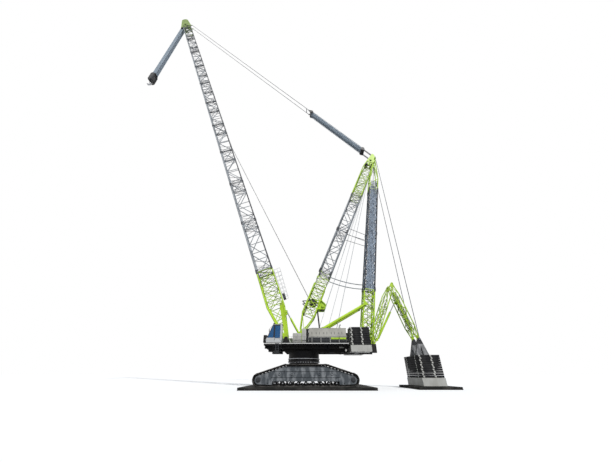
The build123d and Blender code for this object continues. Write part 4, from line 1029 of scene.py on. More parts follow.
@dataclass
class Mats(Assembly):
    """Timber mats under the crawlers and under the derrick ballast.

    Attributes:
        rows: Each mat's CAD node and its count of planks across.
        gap: Half the gap between planks.
        edge: Width of their rounded edges.
    """

    rows: tuple[tuple[str, int], ...] = (("crawler_mat", 6), ("ballast_mat", 4))
    gap: float = 1.0
    edge: float = 2.0

    def dress(self) -> None:
        """Replaces each plain mat by planks."""
        for node, planks in self.rows:
            low, high = (Vector(corner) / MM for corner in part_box(node))
            width = (high.y - low.y) / planks
            length = (high.x - low.x) / (planks // 2)
            half_x, half_y = length / 2 - self.gap, width / 2 - self.gap
            plank = Shape().box((-half_x, -half_y, 0), (half_x, half_y, high.z - low.z))
            spots = [
                (Vector((low.x + (i + 0.5) * length, low.y + (j + 0.5) * width, low.z)), UNTURNED)
                for i in range(planks // 2)
                for j in range(planks)
            ]
            piece = plank.build(f"{node}_plank", Paint.TIMBER, self.edge)
            made = self.kit.spread(f"{node}_planks", piece, spots, Paint.TIMBER)
            self.fit(made, Paint.TIMBER, "undercarriage", node)


@dataclass
class Crawlers(Assembly):
    """Shoes, wheels and frames of both crawlers.

    Attributes:
        middle_x: X of the crawlers' middle.
        shoes: Count of shoes on a belt.
        end_wheel: Distance from the middle, height and radius of an end wheel.
        belt_wheels: The same for the other places that the belt is laid round.
        belt_rise: How far the shoes' datum lies outside the wheels.
        frame_face: From the crawler's middle plane to the frame's face.
        rib_face: From there to the face of its ribs.
        hub_bolts: Count of bolts round a hub.
        pads: X of the round pads on the frame.
        rollers: Count of track rollers.
        roller_run: From the first roller to the last.
        roller_z: Height of their pins.
    """

    middle_x: float = -36.0
    shoes: int = 61
    end_wheel: tuple[float, float, float] = (680.0, 123.6, 59.0)
    belt_wheels: tuple[tuple[float, float, float], ...] = ((550.0, 118.6, 59.0), (300.0, 237.0, 59.0))
    belt_rise: float = 12.0
    frame_face: float = 66.5
    rib_face: float = 74.0
    hub_bolts: int = 10
    pads: tuple[float, ...] = (-380.0, -200.0, 200.0, 380.0)
    rollers: int = 11
    roller_run: float = 1100.0
    roller_z: float = 82.0

    def wheels(self) -> list[tuple[float, float, float]]:
        """x, z and radius of every wheel that the belt is laid round."""
        half = (self.end_wheel, *self.belt_wheels)
        return [(self.middle_x + way * x, z, radius) for x, z, radius in half for way in (1, -1)]

    def shoe(self) -> bpy.types.Object:
        """Makes one track shoe: pad, grouser ribs, hinge barrels and guide horns.

        Returns:
            The shoe, to be laid round the belt.
        """
        shape = Shape()
        shape.box((-28, -100, 2), (28, 100, 12))
        for x in (-18, 0, 18):
            shape.box((x - 3.2, -97, 11.5), (x + 3.2, 97, 14))
        for y in (-72, -42, 42, 72):
            shape.box((-30, y - 9, -1), (30, y + 9, 4))
            shape.tube(Vector((-30, y - 10, 1.5)), Vector((-30, y + 10, 1.5)), 5.0, 8)
        horn = ((-22, 2), (22, 2), (12, -13), (-12, -13))
        for y in (-24, 24):
            shape.prism([Vector((x, y - 6, z)) for x, z in horn], Vector((0, 12, 0)))
        shape.box((-24, -14, -11), (24, 14, 3))
        return shape.build("shoe", Paint.TRACK, 1.2)

    def dress(self) -> None:
        """Replaces both belts and adds what bolts to the frames."""
        loop = wheel_hull(self.wheels(), self.belt_rise, 72)
        for side, label in SIDES:
            middle = side * TRACK_MIDDLE
            spots = []
            for k in range(self.shoes):
                (x, z), heading = along_loop(loop, (k + 0.5) / self.shoes)
                spots.append((Vector((x, middle, z)), (pi, -heading, 0.0)))
            made = self.kit.spread(f"shoes_{label}", self.shoe(), spots, Paint.TRACK)
            self.fit(made, Paint.TRACK, "undercarriage", f"track_{label}")
            self.dress_frame(label, middle)

    def dress_frame(self, label: str, middle: float) -> None:
        """Hubs, ribs, pads and roller caps of one crawler.

        Args:
            label: Name of the side.
            middle: Y of the crawler's middle.
        """
        self.paint(Paint.SLATE, f"track_frame_{label}")
        self.paint(Paint.BLACK, f"track_wheels_{label}")
        hubs, ribs, caps = Shape(), Shape(), Shape()
        for way in (-1, 1):
            out = Vector((0, way, 0))
            for x in (self.end_wheel[0], -self.end_wheel[0]):
                place = Vector((self.middle_x + x, middle + way * 67, self.end_wheel[1]))
                cover = [(0, 34), (5, 34), (8, 30), (8, 20), (13, 18), (13, CLOSED), (0, CLOSED)]
                hubs.lathe(place, out, cover, 28)
                for k in range(self.hub_bolts):
                    turn = 2 * pi * k / self.hub_bolts
                    spot = place + Vector((cos(turn) * 26, way * 7.5, sin(turn) * 26))
                    hubs.tube(spot, spot + out * 3, 2.2, 6)
            low, high = sorted((middle + way * self.frame_face, middle + way * self.rib_face))
            for x in range(-420, 421, 120):
                ribs.box((self.middle_x + x - 5, low, 168), (self.middle_x + x + 5, high, 226))
            ribs.box((self.middle_x - 470, low, 228), (self.middle_x + 470, high, 238))
            ribs.box((self.middle_x - 500, low, 154), (self.middle_x + 500, high, 164))
            for x in self.pads:
                place = Vector((self.middle_x + x, middle + way * self.frame_face, 196))
                pad = [(0, 20), (6, 20), (9, 17), (9, 11), (4, 9), (4, CLOSED), (0, CLOSED)]
                ribs.lathe(place, out, pad, 20)
            for k in range(self.rollers):
                x = self.middle_x + self.roller_run * (k / (self.rollers - 1) - 0.5)
                place = Vector((x, middle + way * 48, self.roller_z))
                caps.lathe(place, out, [(0, 9), (16, 9), (19, 7), (19, CLOSED), (0, CLOSED)], 18)
        self.add(hubs, f"hub_covers_{label}", Paint.DARK, "undercarriage", 0.6)
        self.add(ribs, f"frame_ribs_{label}", Paint.SLATE, "undercarriage", 1.0)
        self.add(caps, f"roller_caps_{label}", Paint.BARE, "undercarriage")


@dataclass
class CarBody(Assembly):
    """Car body, cross beams and slewing ring.

    Attributes:
        beam_x: Distance of a cross beam from the middle.
        beam_ribs: Places of the ribs on a beam, in steps.
        rib_step: One such step.
        jack_x: Distance of the jacks from the middle.
        jack_y: Their distance to the side.
        ring_z: Underside of the ring's lower flange.
        ring_bore: Bore of the ring.
        bolt_circle: Radius of the circle of ring bolts.
        bolts: Count of the bolts.
    """

    beam_x: float = 150.0
    beam_ribs: tuple[int, ...] = (-2, -1, 1, 2)
    rib_step: float = 24.0
    jack_x: float = 292.0
    jack_y: float = 95.0
    ring_z: float = 362.0
    ring_bore: float = 246.0
    bolt_circle: float = 255.0
    bolts: int = 60

    def dress(self) -> None:
        """Paints the CAD nodes and adds the trim of body and ring."""
        self.paint(Paint.BLACK, "carbody", "slew_ring")
        self.add(self.body_trim(), "carbody_detail", Paint.BLACK, "undercarriage", 1.2)
        base, up, bore = Vector((0, 0, self.ring_z)), Vector((0, 0, 1)), self.ring_bore
        flange = [(0, bore), (0, 262), (8, 262), (10, 256), (38, 256), (38, bore)]
        self.add(Shape().lathe(base, up, flange, 72), "ring_flange", Paint.BLACK, "undercarriage")
        rim = [(39, bore), (39, 263), (41, 265), (48, 265), (50, 263), (50, bore)]
        self.add(Shape().lathe(base, up, rim, 72), "ring_rim", Paint.BARE, "undercarriage")
        bolt = Shape().tube(Vector((0, 0, 0)), Vector((0, 0, 14)), 4.6, 6)
        turns = [2 * pi * k / self.bolts for k in range(self.bolts)]
        circle, foot = self.bolt_circle, self.ring_z - 14
        spots = [(Vector((circle * cos(turn), circle * sin(turn), foot)), (0.0, 0.0, turn)) for turn in turns]
        made = self.kit.spread("ring_bolts", bolt.build("bolt", Paint.BARE), spots, Paint.BARE)
        self.fit(made, Paint.BARE, "undercarriage")

    def body_trim(self) -> Shape:
        """Makes flanges, pins and ribs of the cross beams, end plates and jacks.

        Returns:
            Their shape.
        """
        detail = Shape()
        for way in (-1, 1):
            for x in (-self.beam_x, self.beam_x):
                detail.box((x - 66, way * 296 - 8, 122), (x + 66, way * 296 + 8, 284))
                for z in (150, 256):
                    for dx in (-72, 72):
                        low, high = way * 300 - 34, way * 300 + 34
                        detail.tube(Vector((x + dx, low, z)), Vector((x + dx, high, z)), 11, 16)
                detail.box((x - 74, way * 335 - 14, 236), (x + 74, way * 335 + 14, 292))
                low, high = span(way, 250, 352)
                for k in self.beam_ribs:
                    middle = x + k * self.rib_step
                    detail.box((middle - 2.5, low, 268), (middle + 2.5, high, 282))
            detail.box((way * 262 - 14, -120, 140), (way * 262 + 14, 120, 330))
            detail.box((way * 276 - 6, -70, 200), (way * 276 + 6, 70, 290))
            for y in (-self.jack_y, self.jack_y):
                x = way * self.jack_x
                for low, high, radius, sides in ((120, 214, 16, 18), (106, 122, 26, 20)):
                    detail.tube(Vector((x, y, low)), Vector((x, y, high)), radius, sides)
        return detail


@dataclass
class Platform(Assembly):
    """Slewing platform: fascia, catwalks, rails, deck ribs and tanks under the deck.

    Attributes:
        rear: Rear end of the fascia.
        front: Its front end.
        walk_rear: Rear end of the catwalks.
        walk_front: Their front end.
        walk_outer: Distance of their outer edge from the middle.
        walk_z: Height of their tread.
        rail_height: Height of the handrails.
    """

    rear: float = -706.0
    front: float = 622.0
    walk_rear: float = -700.0
    walk_front: float = 330.0
    walk_outer: float = 452.0
    walk_z: float = 604.0
    rail_height: float = 95.0

    def rail(self, start: Point, end: Point, posts: int) -> list[Bar]:
        """Bars of a handrail.

        Args:
            start: Foot of its first post.
            end: Foot of its last post.
            posts: Count of posts.

        Returns:
            Start, end and radius of each bar.
        """
        first, last, up = Vector(start), Vector(end), Vector((0, 0, self.rail_height))
        bars = [(first + up * level, last + up * level, 1.2) for level in (0.52, 1.0)]
        for k in range(posts):
            foot = first.lerp(last, k / (posts - 1))
            bars.append((foot, foot + up, 1.4))
        return bars

    def dress(self) -> None:
        """Paints the platform and adds its trim."""
        self.paint(Paint.BLACK, "platform")
        self.paint(Paint.LIME, "mast_bracket")
        white, dark, walk = Shape(), Shape(), Shape()
        bars = []
        for way in (-1, 1):
            low, high = span(way, DECK_EDGE - 4, DECK_EDGE + 2)
            dark.box((self.rear, low, 584), (self.front, high, 598))
            white.box((self.rear, low, 601), (self.front, high, 613))
            low, high = span(way, DECK_EDGE + 2.5, self.walk_outer)
            walk.box((self.walk_rear, low, self.walk_z - 4), (self.walk_front, high, self.walk_z))
            for x in range(-690, 331, 68):
                walk.box((x - 3, low, 588), (x + 3, high, 600))
            low, high = span(way, self.walk_outer, self.walk_outer + 2)
            white.box((self.walk_rear - 2, low, 598), (self.walk_front + 2, high, 608))
            edge, foot = way * (self.walk_outer - 3), self.walk_z
            bars += self.rail((self.walk_rear + 2, edge, foot), (self.walk_front - 2, edge, foot), 16)
            bars += self.rail((self.walk_front, way * 404, foot), (self.walk_front, edge, foot), 2)
        bars += self.rail((615, -395, DECK_TOP), (615, 150, DECK_TOP), 8)
        self.add(white, "fascia_line", Paint.WHITE, "upper")
        self.add(dark, "fascia", Paint.BLACK, "upper", 0.8)
        self.add(walk, "catwalks", Paint.DARK, "upper", 0.5)
        self.rods("handrails", bars, Paint.SHADE, "upper", sides=8)
        self.dress_underside()

    def dress_underside(self) -> None:
        """Adds ribs, girders and tanks under the deck."""
        ribs, tanks = Shape(), Shape()
        for x in range(-640, 601, 124):
            ribs.box((x - 5, -392, 545), (x + 5, 392, 580))
        for way in (-1, 1):
            ribs.box((-700, way * 300 - 6, 540), (620, way * 300 + 6, 580))
            ribs.box((380, way * 240 - 60, 500), (560, way * 240 + 60, 545))
            tanks.tube(Vector((-658, way * 352, 512)), Vector((-658, way * 392, 512)), 15, 24)
            tanks.tube(Vector((-630, way * 340, 556)), Vector((-560, way * 340, 556)), 12, 20)
        self.add(ribs, "deck_ribs", Paint.BLACK, "upper")
        self.add(tanks, "deck_accumulators", Paint.PANEL, "upper", 1.0)


@dataclass
class Houses(Assembly):
    """Machine houses on both sides of the deck, and the boxes before them.

    Attributes:
        middle: Distance of a house's middle plane from the crane's.
        seams: X of the separators between doors.
        latches: X of the door latches.
        vents: X of the round roof vents.
        slats: Count of slats in the square vent.
        exhaust_x: X of the exhaust pipe.
    """

    middle: float = 305.0
    seams: tuple[float, ...] = (-131.0, -273.0, -420.0, -560.0)
    latches: tuple[float, ...] = (-610.0, -490.0, -370.0, -250.0, -130.0)
    vents: tuple[float, ...] = (-470.0, -350.0)
    slats: int = 7
    exhaust_x: float = -590.0

    def dress(self) -> None:
        """Adds separators, latches, roof vents and pipes to the CAD houses, and service boxes."""
        for way, label in SIDES:
            self.paint(Paint.HOUSE, f"machine_house_{label}")
            self.dress_side(way, label)
            self.dress_roof(way * self.middle, label)
        boxes = Shape()
        boxes.box((-36, 300, DECK_TOP), (29, 396, 826))
        boxes.box((36, 262, DECK_TOP), (176, 396, 758))
        boxes.box((-60, -392, DECK_TOP), (120, -262, 716))
        boxes.box((180, -392, DECK_TOP), (420, -262, 760))
        self.add(boxes, "service_boxes", Paint.PANEL, "upper", 3.0)
        dark = Shape()
        dark.box((-76, 262, DECK_TOP), (-38, 386, 822))
        dark.box((-34, 390, 640), (27, 397.5, 652))
        dark.box((44, 390, 640), (168, 397.5, 646))
        dark.box((104, 390, 650), (107, 397.5, 752))
        self.add(dark, "service_recesses", Paint.BLACK, "upper")

    def dress_side(self, way: int, label: str) -> None:
        """Separators, latches and lime stripe on one house's outer face.

        Args:
            way: 1 for left, -1 for right.
            label: Name of the side.
        """
        posts, latch = Shape(), Shape()
        low, high = span(way, HOUSE_FACE - 5, HOUSE_FACE + 2)
        for x in self.seams:
            posts.box((x - 4, low, 622), (x + 4, high, 702))
        posts.box((-684, low, 696), (-80, high, 704))
        for x in self.latches:
            latch.box((x - 3, low, 740), (x + 3, high, 776))
            latch.box((x + 44, low, 752), (x + 54, high, 766))
        stripe = Shape().box((-672, low, 668), (-434, high, 694))
        self.add(posts, f"house_separators_{label}", Paint.PANEL, "upper")
        self.add(latch, f"house_latches_{label}", Paint.DARK, "upper")
        self.add(stripe, f"house_stripe_{label}", Paint.LIME, "upper")

    def dress_roof(self, y: float, label: str) -> None:
        """Vents and exhaust pipe on one house's roof.

        Args:
            y: Middle of the house.
            label: Name of the side.
        """
        roof, up = Shape(), Vector((0, 0, 1))
        for x in self.vents:
            roof.lathe(Vector((x, y, 834)), up, [(0, 34), (8, 34), (12, 28), (12, CLOSED), (0, CLOSED)], 28)
        roof.box((-290, y - 60, 833), (-120, y + 60, 840))
        for k in range(self.slats):
            roof.box((-282 + k * 22, y - 54, 839), (-270 + k * 22, y + 54, 843))
        start = Vector((self.exhaust_x, y, 858))
        bend = [start + Vector((x, 0, z)) for x, z in ((0, 0), (0, 20), (-7, 33), (-20, 40))]
        self.add(roof, f"house_roof_{label}", Paint.DARK, "upper", 0.8)
        self.add(Shape().sweep(bend, 11, 16), f"exhaust_{label}", Paint.BARE, "upper")


@dataclass
class Cab(Assembly):
    """Driver's cab with glass, lamps, mirrors, controls and its swinging door.

    Attributes:
        outer: Distance of its outer wall from the middle.
        inner: Distance of its inner wall.
        lamps: Y of the roof lamps.
        step_y: Y of the ladder under the door.
        step_rails: X of the ladder's rails.
        steps: Count of its rungs.
    """

    outer: float = 400.0
    inner: float = 240.0
    lamps: tuple[float, ...] = (262.0, 300.0, 340.0, 378.0)
    step_y: float = 408.0
    step_rails: Flat = (388.0, 440.0)
    steps: int = 6

    def dress(self) -> None:
        """Paints the cab and adds what is fixed to it."""
        self.paint(Paint.CAB, "cab_shell", "cab_door")
        self.paint(Paint.SEAT, "cab_seat")
        self.dress_glass()
        self.dress_door()
        dark = Shape()
        dark.box((540, 270, 626), (574, 370, 650))
        dark.bar(Vector((556, 320, 640)), Vector((520, 320, 720)), 26, 10)
        for y in (271, 369):
            dark.box((432, y - 9, 650), (500, y + 9, 700))
            dark.tube(Vector((490, y, 699)), Vector((494, y, 728)), 3.4, 10)
        dark.box((345, 246, 889), (500, 394, 896))
        dark.box((592, 262, 622), (640, 392, 730))
        self.add(dark, "cab_interior", Paint.BLACK, "upper", 1.5)
        self.dress_lamps()
        self.rods("cab_steps", self.step_bars(), Paint.SHADE, "upper", sides=8)

    def dress_glass(self) -> None:
        """Adds the panes and the wipers of the raked front."""
        glass, seal = Shape(), Shape()
        foot, head = (Vector((x, self.inner + 8, z)) for x, z in ((594, 672), (507, 877)))
        push = Vector((0, self.outer - self.inner - 16, 0))
        thick = Vector((-2.5, 0, -1.1))
        glass.prism([foot, head, head + thick, foot + thick], push)
        for y, start in ((self.outer - 3.4, 484.0), (self.inner + 0.9, 388.0)):
            side = ((start, 692), (582, 692), (505, 872), (start, 872))
            glass.prism([Vector((x, y, z)) for x, z in side], Vector((0, 2.5, 0)))
        self.add(glass, "cab_panes", Paint.GLASS, "upper")
        for share in (0.35, 0.65):
            y = self.inner + (self.outer - self.inner) * share
            seal.bar(Vector((600, y, 680)), Vector((561, y - 26, 770)), 2.5, 2.5)
        self.add(seal, "cab_wipers", Paint.RUBBER, "upper")

    def dress_door(self) -> None:
        """Adds pane and grip of the door."""
        low, high = (Vector(corner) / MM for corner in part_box("cab_door"))
        pane = Shape().box((low.x + 10, high.y - 3.4, 688), (high.x - 10, high.y - 0.9, 868))
        self.add(pane, "door_pane", Paint.GLASS, "cab_door")
        foot = Vector((high.x - 10, high.y, low.z + 24))
        bow = [foot, foot + Vector((0, 8, 2)), foot + Vector((0, 8, 28)), foot + Vector((0, 0, 30))]
        self.add(Shape().sweep(bow, 1.6, 8), "door_grip", Paint.BLACK, "cab_door")

    def dress_lamps(self) -> None:
        """Adds work lamps on the roof and a mirror on each side."""
        lamps, lens = Shape(), Shape()
        for y in self.lamps:
            lamps.tube(Vector((478, y, 904)), Vector((496, y, 902)), 9, 16, 11)
            lens.tube(Vector((496, y, 902)), Vector((498, y, 901.8)), 10, 16)
        for skin, way in ((self.outer, 1), (self.inner, -1)):
            y = skin + way * 22
            lamps.box((548, y - 8, 770), (556, y + 8, 812))
            lamps.tube(Vector((552, y, 812)), Vector((520, skin, 862)), 2.0, 8)
        self.add(lamps, "cab_lamps", Paint.BLACK, "upper", 0.5)
        self.add(lens, "cab_lenses", Paint.LENS, "upper")

    def step_bars(self) -> list[Bar]:
        """Lays out the ladder under the cab door.

        Returns:
            Its bars.
        """
        y, (rear, front) = self.step_y, self.step_rails
        bars = [(Vector((x, y, 470)), Vector((x, y, 616)), 2.4) for x in self.step_rails]
        for k in range(self.steps):
            z = 478 + 26 * k
            bars.append((Vector((rear, y, z)), Vector((front, y, z)), 2.2))
        return bars


@dataclass
class Lattices(Assembly):
    """Chords, lacing, pin lugs, joint bracing and ladders of boom, mast, strut and guide.

    Attributes:
        sections: Count of the boom's grey sections.
        mast_stops: Where the mast's sections meet, along it.
        mast_tip: Where its last bracing ends.
        strut_stops: Where the strut's sections meet, along it.
        rail_rears: Places of the strut's outer rails towards the rear.
        rungs: Count of the strut's outer rungs.
        ladder_half: Half the width of a ladder.
        ladder_step: Distance between its rungs.
        link_bays: Bays of the guide link's inner lacing.
        link_bay: Length of one.
        link_side: Distance of that lacing from the middle.
        walk_low: Where the catwalk on the boom foot starts, along the boom.
        walk_high: Where it ends.
        walk_rear: Its height on the boom's rear.
    """

    sections: int = 5
    mast_stops: tuple[float, ...] = (1181.0, 2205.0, 3230.0)
    mast_tip: float = 4226.0
    strut_stops: tuple[float, ...] = (900.0, 2135.0, 3369.9)
    rail_rears: tuple[float, ...] = (-56.0, -28.0, 0.0, 28.0, 56.0)
    rungs: int = 37
    ladder_half: float = 20.0
    ladder_step: float = 32.0
    link_bays: int = 7
    link_bay: float = 100.0
    link_side: float = 119.5
    walk_low: float = 690.0
    walk_high: float = 1290.0
    walk_rear: float = 176.0

    def lugs(self, member: Member, stops: Sequence[float], size: Flat, radius: float) -> Shape:
        """Pinned end pieces where two lattice sections meet.

        Args:
            member: The frame they lie in.
            stops: Where sections meet, along the member.
            size: Depth and width between chord lines.
            radius: Chord radius.

        Returns:
            Their shape.
        """
        shape = Shape()
        reach = Vector((0, radius + 6, 0))
        deep, wide = size[0] / 2, size[1] / 2
        corners = [(rear, side) for rear in (-deep, deep) for side in (-wide, wide)]
        for stop in stops:
            for corner in corners:
                shape.tube(member.at(stop - 46, *corner), member.at(stop + 46, *corner), radius + 3, 14)
                low, high = member.at(stop - 26, *corner), member.at(stop + 26, *corner)
                shape.bar(low, high, 12, radius * 2 + 12, member.back)
                for off in (-13, 13):
                    centre = member.at(stop + off, *corner)
                    shape.tube(centre - reach, centre + reach, 6.5, 12)
        return shape

    def joint_bracing(
        self, member: Member, stops: Sequence[float], size: Flat, reach: float, radius: float
    ) -> list[Bar]:
        """Short stiffening bars in the side faces next to section joints.

        Args:
            member: The frame they lie in.
            stops: Where sections meet, along the member.
            size: Depth and width between chord lines.
            reach: How far the bars run from a joint.
            radius: Radius of the bars.

        Returns:
            Start, end and radius of each bar.
        """
        bars = []
        deep, half, thin = size[0] / 2, size[1] / 2, radius * 0.8
        for stop in stops:
            for side in (-half, half):
                for way in (-1, 1):
                    near, far, mid = stop + way * 24, stop + way * reach, stop + way * reach * 0.55
                    bars.append((member.at(near, -deep, side), member.at(near, deep, side), radius))
                    bars.append((member.at(near, -deep, side), member.at(mid, deep, side), radius))
                    bars.append((member.at(mid, deep, side), member.at(far, -deep, side), radius))
                    bars.append((member.at(near, deep, side), member.at(mid, -deep, side), thin))
            for rear in (-deep, deep):
                bars.append((member.at(stop - reach, rear, -half), member.at(stop + reach, rear, half), thin))
        return bars

    def ladder(self, member: Member, start: float, end: float, rear: float, side: float) -> list[Bar]:
        """Bars of a ladder along a member.

        Args:
            member: The frame it lies in.
            start: Where it starts.
            end: Where it ends.
            rear: Its place towards the rear.
            side: Its middle.

        Returns:
            Start, end and radius of each bar.
        """
        low, high = side - self.ladder_half, side + self.ladder_half
        bars = [(member.at(start, rear, s), member.at(end, rear, s), 2.0) for s in (low, high)]
        count = int((end - start) / self.ladder_step)
        for k in range(count):
            along = start + (k + 0.5) * (end - start) / count
            bars.append((member.at(along, rear, low), member.at(along, rear, high), 1.4))
        return bars

    def end_bracing(
        self, name: str, member: Member, stations: Sequence[Station], radius: float, body: str
    ) -> None:
        """Crossed bracing of a painted end section: lime frames and darker diagonals, blotched with painted shade.

        Args:
            name: First part of the pieces' names.
            member: The frame it lies in.
            stations: Its cross frames.
            radius: Radius of the frames.
            body: Name of the CAD body.
        """
        rings = Truss(member, stations, radius, radius).rings()
        frames = [(ring[k], ring[(k + 1) % 4], radius) for ring in rings for k in range(4)]
        braces = []
        for low, high in zip(rings, rings[1:]):
            for k in range(4):
                other = (k + 1) % 4
                braces.append((low[k], high[other], radius * 0.8))
                braces.append((low[other], high[k], radius * 0.6))
        self.rods(f"{name}_frames", frames, Paint.LIME, body, sides=8)
        self.rods(f"{name}_braces", braces, Paint.GUIDE, body, sides=8)

    def dress(self) -> None:
        """Replaces the straight sections and dresses the ends."""
        self.paint(Paint.BOOM_FOOT, "boom_foot")
        self.paint(Paint.BOOM_HEAD, "boom_head")
        self.paint(Paint.MAST_FOOT, "mast_foot")
        self.paint(Paint.MAST_HEAD, "mast_head")
        self.paint(Paint.STRUT_ENDS, "strut_foot", "strut_head")
        self.paint(Paint.LIME, "mast_cylinders")
        self.paint(Paint.SHADE, "cross_ties")
        self.paint(Paint.GUIDE, "guide_link", "guide_drop")
        self.paint(Paint.YOKE, "ballast_yoke")
        self.dress_boom()
        self.dress_mast()
        self.dress_strut()
        self.dress_guide()
        self.dress_catwalk()

    def dress_boom(self) -> None:
        """Sections, joints and ladder of the boom."""
        for node in range(self.sections):
            front, rear, lacing = [], [], []
            stops = BOOM_STOPS[2 * node:2 * node + 3]
            for low, high in zip(stops, stops[1:]):
                truss = Truss(BOOM, even(low, high, 3, BOOM_SIZE), 14.0, 8.2)
                front += truss.chords(front=True)
                rear += truss.chords(front=False)
                lacing += truss.lacing(frames=(0,))
            label, section = node + 1, f"boom_insert_{node + 1}"
            self.rods(f"boom_front_chords_{label}", front, Paint.GREY, "boom", section, sides=12)
            self.rods(f"boom_rear_chords_{label}", rear, Paint.SHADE, "boom", section, sides=12)
            self.rods(f"boom_lacing_{label}", lacing, Paint.LACING, "boom", section)
        self.add(self.lugs(BOOM, BOOM_STOPS, BOOM_SIZE, 13), "boom_section_pins", Paint.SHADE, "boom")
        bracing = self.joint_bracing(BOOM, BOOM_STOPS, BOOM_SIZE, 230, 4.6)
        self.rods("boom_joint_bracing", bracing, Paint.SHADE, "boom", sides=8)
        self.rods("boom_ladder", self.ladder(BOOM, 980, 13250, -118, 100), Paint.LACING, "boom", sides=6)
        foot = [(330.0, -95.0, 95.0, 152.5), *even(600.0, BOOM_STOPS[0], 4, BOOM_SIZE)]
        self.end_bracing("boom_foot", BOOM, foot, 7.0, "boom")

    def dress_mast(self) -> None:
        """Middle section, joints, ends and ladder of the mast."""
        start, _, end = self.mast_stops
        truss = Truss(MAST, even(start, end, 7, MAST_SIZE), 12.0, 7.4)
        self.rods("mast_chords", truss.all_chords(), Paint.GREY, "upper", "mast_middle", sides=12)
        self.rods("mast_lacing", truss.lacing(frames=(0, 3, 6)), Paint.LACING, "upper", "mast_middle")
        self.add(self.lugs(MAST, self.mast_stops, MAST_SIZE, 11), "mast_section_pins", Paint.SHADE, "upper")
        bracing = self.joint_bracing(MAST, self.mast_stops, MAST_SIZE, 190, 4.2)
        self.rods("mast_joint_bracing", bracing, Paint.SHADE, "upper", sides=8)
        self.end_bracing("mast_foot", MAST, even(320.0, start, 6, MAST_SIZE), 6.0, "upper")
        self.end_bracing("mast_head", MAST, even(end, self.mast_tip, 6, MAST_SIZE), 6.0, "upper")
        self.rods("mast_ladder", self.ladder(MAST, 1000, 4200, 134, 70), Paint.LACING, "upper", sides=6)

    def dress_strut(self) -> None:
        """Middle section, outer rails and rungs, foot and ladder of the strut."""
        start, _, end = self.strut_stops
        truss = Truss(STRUT, even(start, end, 12, STRUT_SIZE), 12.0, 7.5, cross=True)
        self.rods("strut_chords", truss.all_chords(), Paint.STRUT, "upper", "strut_middle", sides=12)
        self.rods("strut_lacing", truss.lacing(frames=range(13)), Paint.STEEL_BLUE, "upper", "strut_middle")
        self.add(self.lugs(STRUT, self.strut_stops, STRUT_SIZE, 12), "strut_section_pins", Paint.STRUT, "upper")
        rails = [(STRUT.at(start, r, s), STRUT.at(3640, r, s), 8.5) for r in self.rail_rears for s in (-97, 97)]
        self.rods("strut_rails", rails, Paint.STEEL_BLUE, "upper", sides=8)
        rungs = [
            (STRUT.at(720 + 78 * k, -88, side), STRUT.at(760 + 78 * k, 88, side), 4.0)
            for k in range(self.rungs)
            for side in (-92, 92)
        ]
        self.rods("strut_rungs", rungs, Paint.STRUT, "upper", sides=6)
        self.end_bracing("strut_foot", STRUT, even(20.0, start, 6, STRUT_SIZE), 6.0, "upper")
        self.rods("strut_ladder", self.ladder(STRUT, 120, 4260, 0, 0), Paint.STRUT, "upper", sides=6)

    def dress_guide(self) -> None:
        """Inner lacing of the jointed ballast guide."""
        bars = []
        for k in range(self.link_bays):
            low, high = 130.0 + self.link_bay * k, 230.0 + self.link_bay * k
            for side in (-self.link_side, self.link_side):
                bars += [(GUIDE.at(low, rear, side), GUIDE.at(high, -rear, side), 4.8) for rear in (-38, 38)]
        self.rods("guide_link_lacing", bars, Paint.GUIDE_SHADE, "guide_link", sides=6)
        truss = Truss(DROP, even(150.0, 850.0, 9, (62.0, 80.0)), 5.0, 4.6, cross=True)
        bars = truss.all_chords() + truss.lacing()
        self.rods("guide_drop_lacing", bars, Paint.GUIDE_SHADE, "guide_drop", sides=6)

    def dress_catwalk(self) -> None:
        """Railed catwalk on the rear of the boom foot."""
        floor = Shape()
        low, high, rear = self.walk_low, self.walk_high, self.walk_rear
        floor.bar(BOOM.at(low, rear, 0), BOOM.at(high, rear, 0), 180, 4, BOOM.back)
        for along in range(720, 1290, 70):
            floor.bar(BOOM.at(along, 160, -80), BOOM.at(along, 160, 80), 6, 10, BOOM.back)
        for side in (-84, 84):
            floor.bar(BOOM.at(low, 200, side), BOOM.at(low + 80, 200, side), 10, 50, BOOM.back)
        self.add(floor, "boom_catwalk", Paint.DARK, "boom")
        first, last, tread = low + 10, high - 10, rear + 2
        bars = []
        for side in (-88, 88):
            for start, end in ((44, 62), (88, 122)):
                bars.append((BOOM.at(first, tread + start, side), BOOM.at(last, tread + end, side), 1.7))
            for k in range(8):
                along, rise = first + k * (last - first) / 7, 88 + k * 34 / 7
                bars.append((BOOM.at(along, rear, side), BOOM.at(along, tread + rise, side), 2.4))
        for along, rise in ((first, 88), (last, 122)):
            bars.append((BOOM.at(along, tread + rise, -88), BOOM.at(along, tread + rise, 88), 2.2))
        self.rods("boom_catwalk_rails", bars, Paint.HOSE, "boom", sides=8)


def sheave(shape: Shape, centre: Vector, radius: float, width: float, bore: float) -> None:
    """Adds a grooved sheave that turns about Y.

    Args:
        shape: The shape it goes into.
        centre: Its middle.
        radius: Radius at the rims.
        width: Width over the rims.
        bore: Radius of its bore.
    """
    h = width / 2
    groove = [(-h, radius), (-h * 0.7, radius), (0, radius - 5), (h * 0.7, radius), (h, radius)]
    right = [(h, radius - 9), (h * 0.4, radius - 12), (h * 0.4, bore + 8), (h, bore + 6), (h, bore)]
    left = [(-far, away) for far, away in right[::-1]]
    shape.lathe(centre, Vector((0, 1, 0)), [*groove, *right, *left], 36)


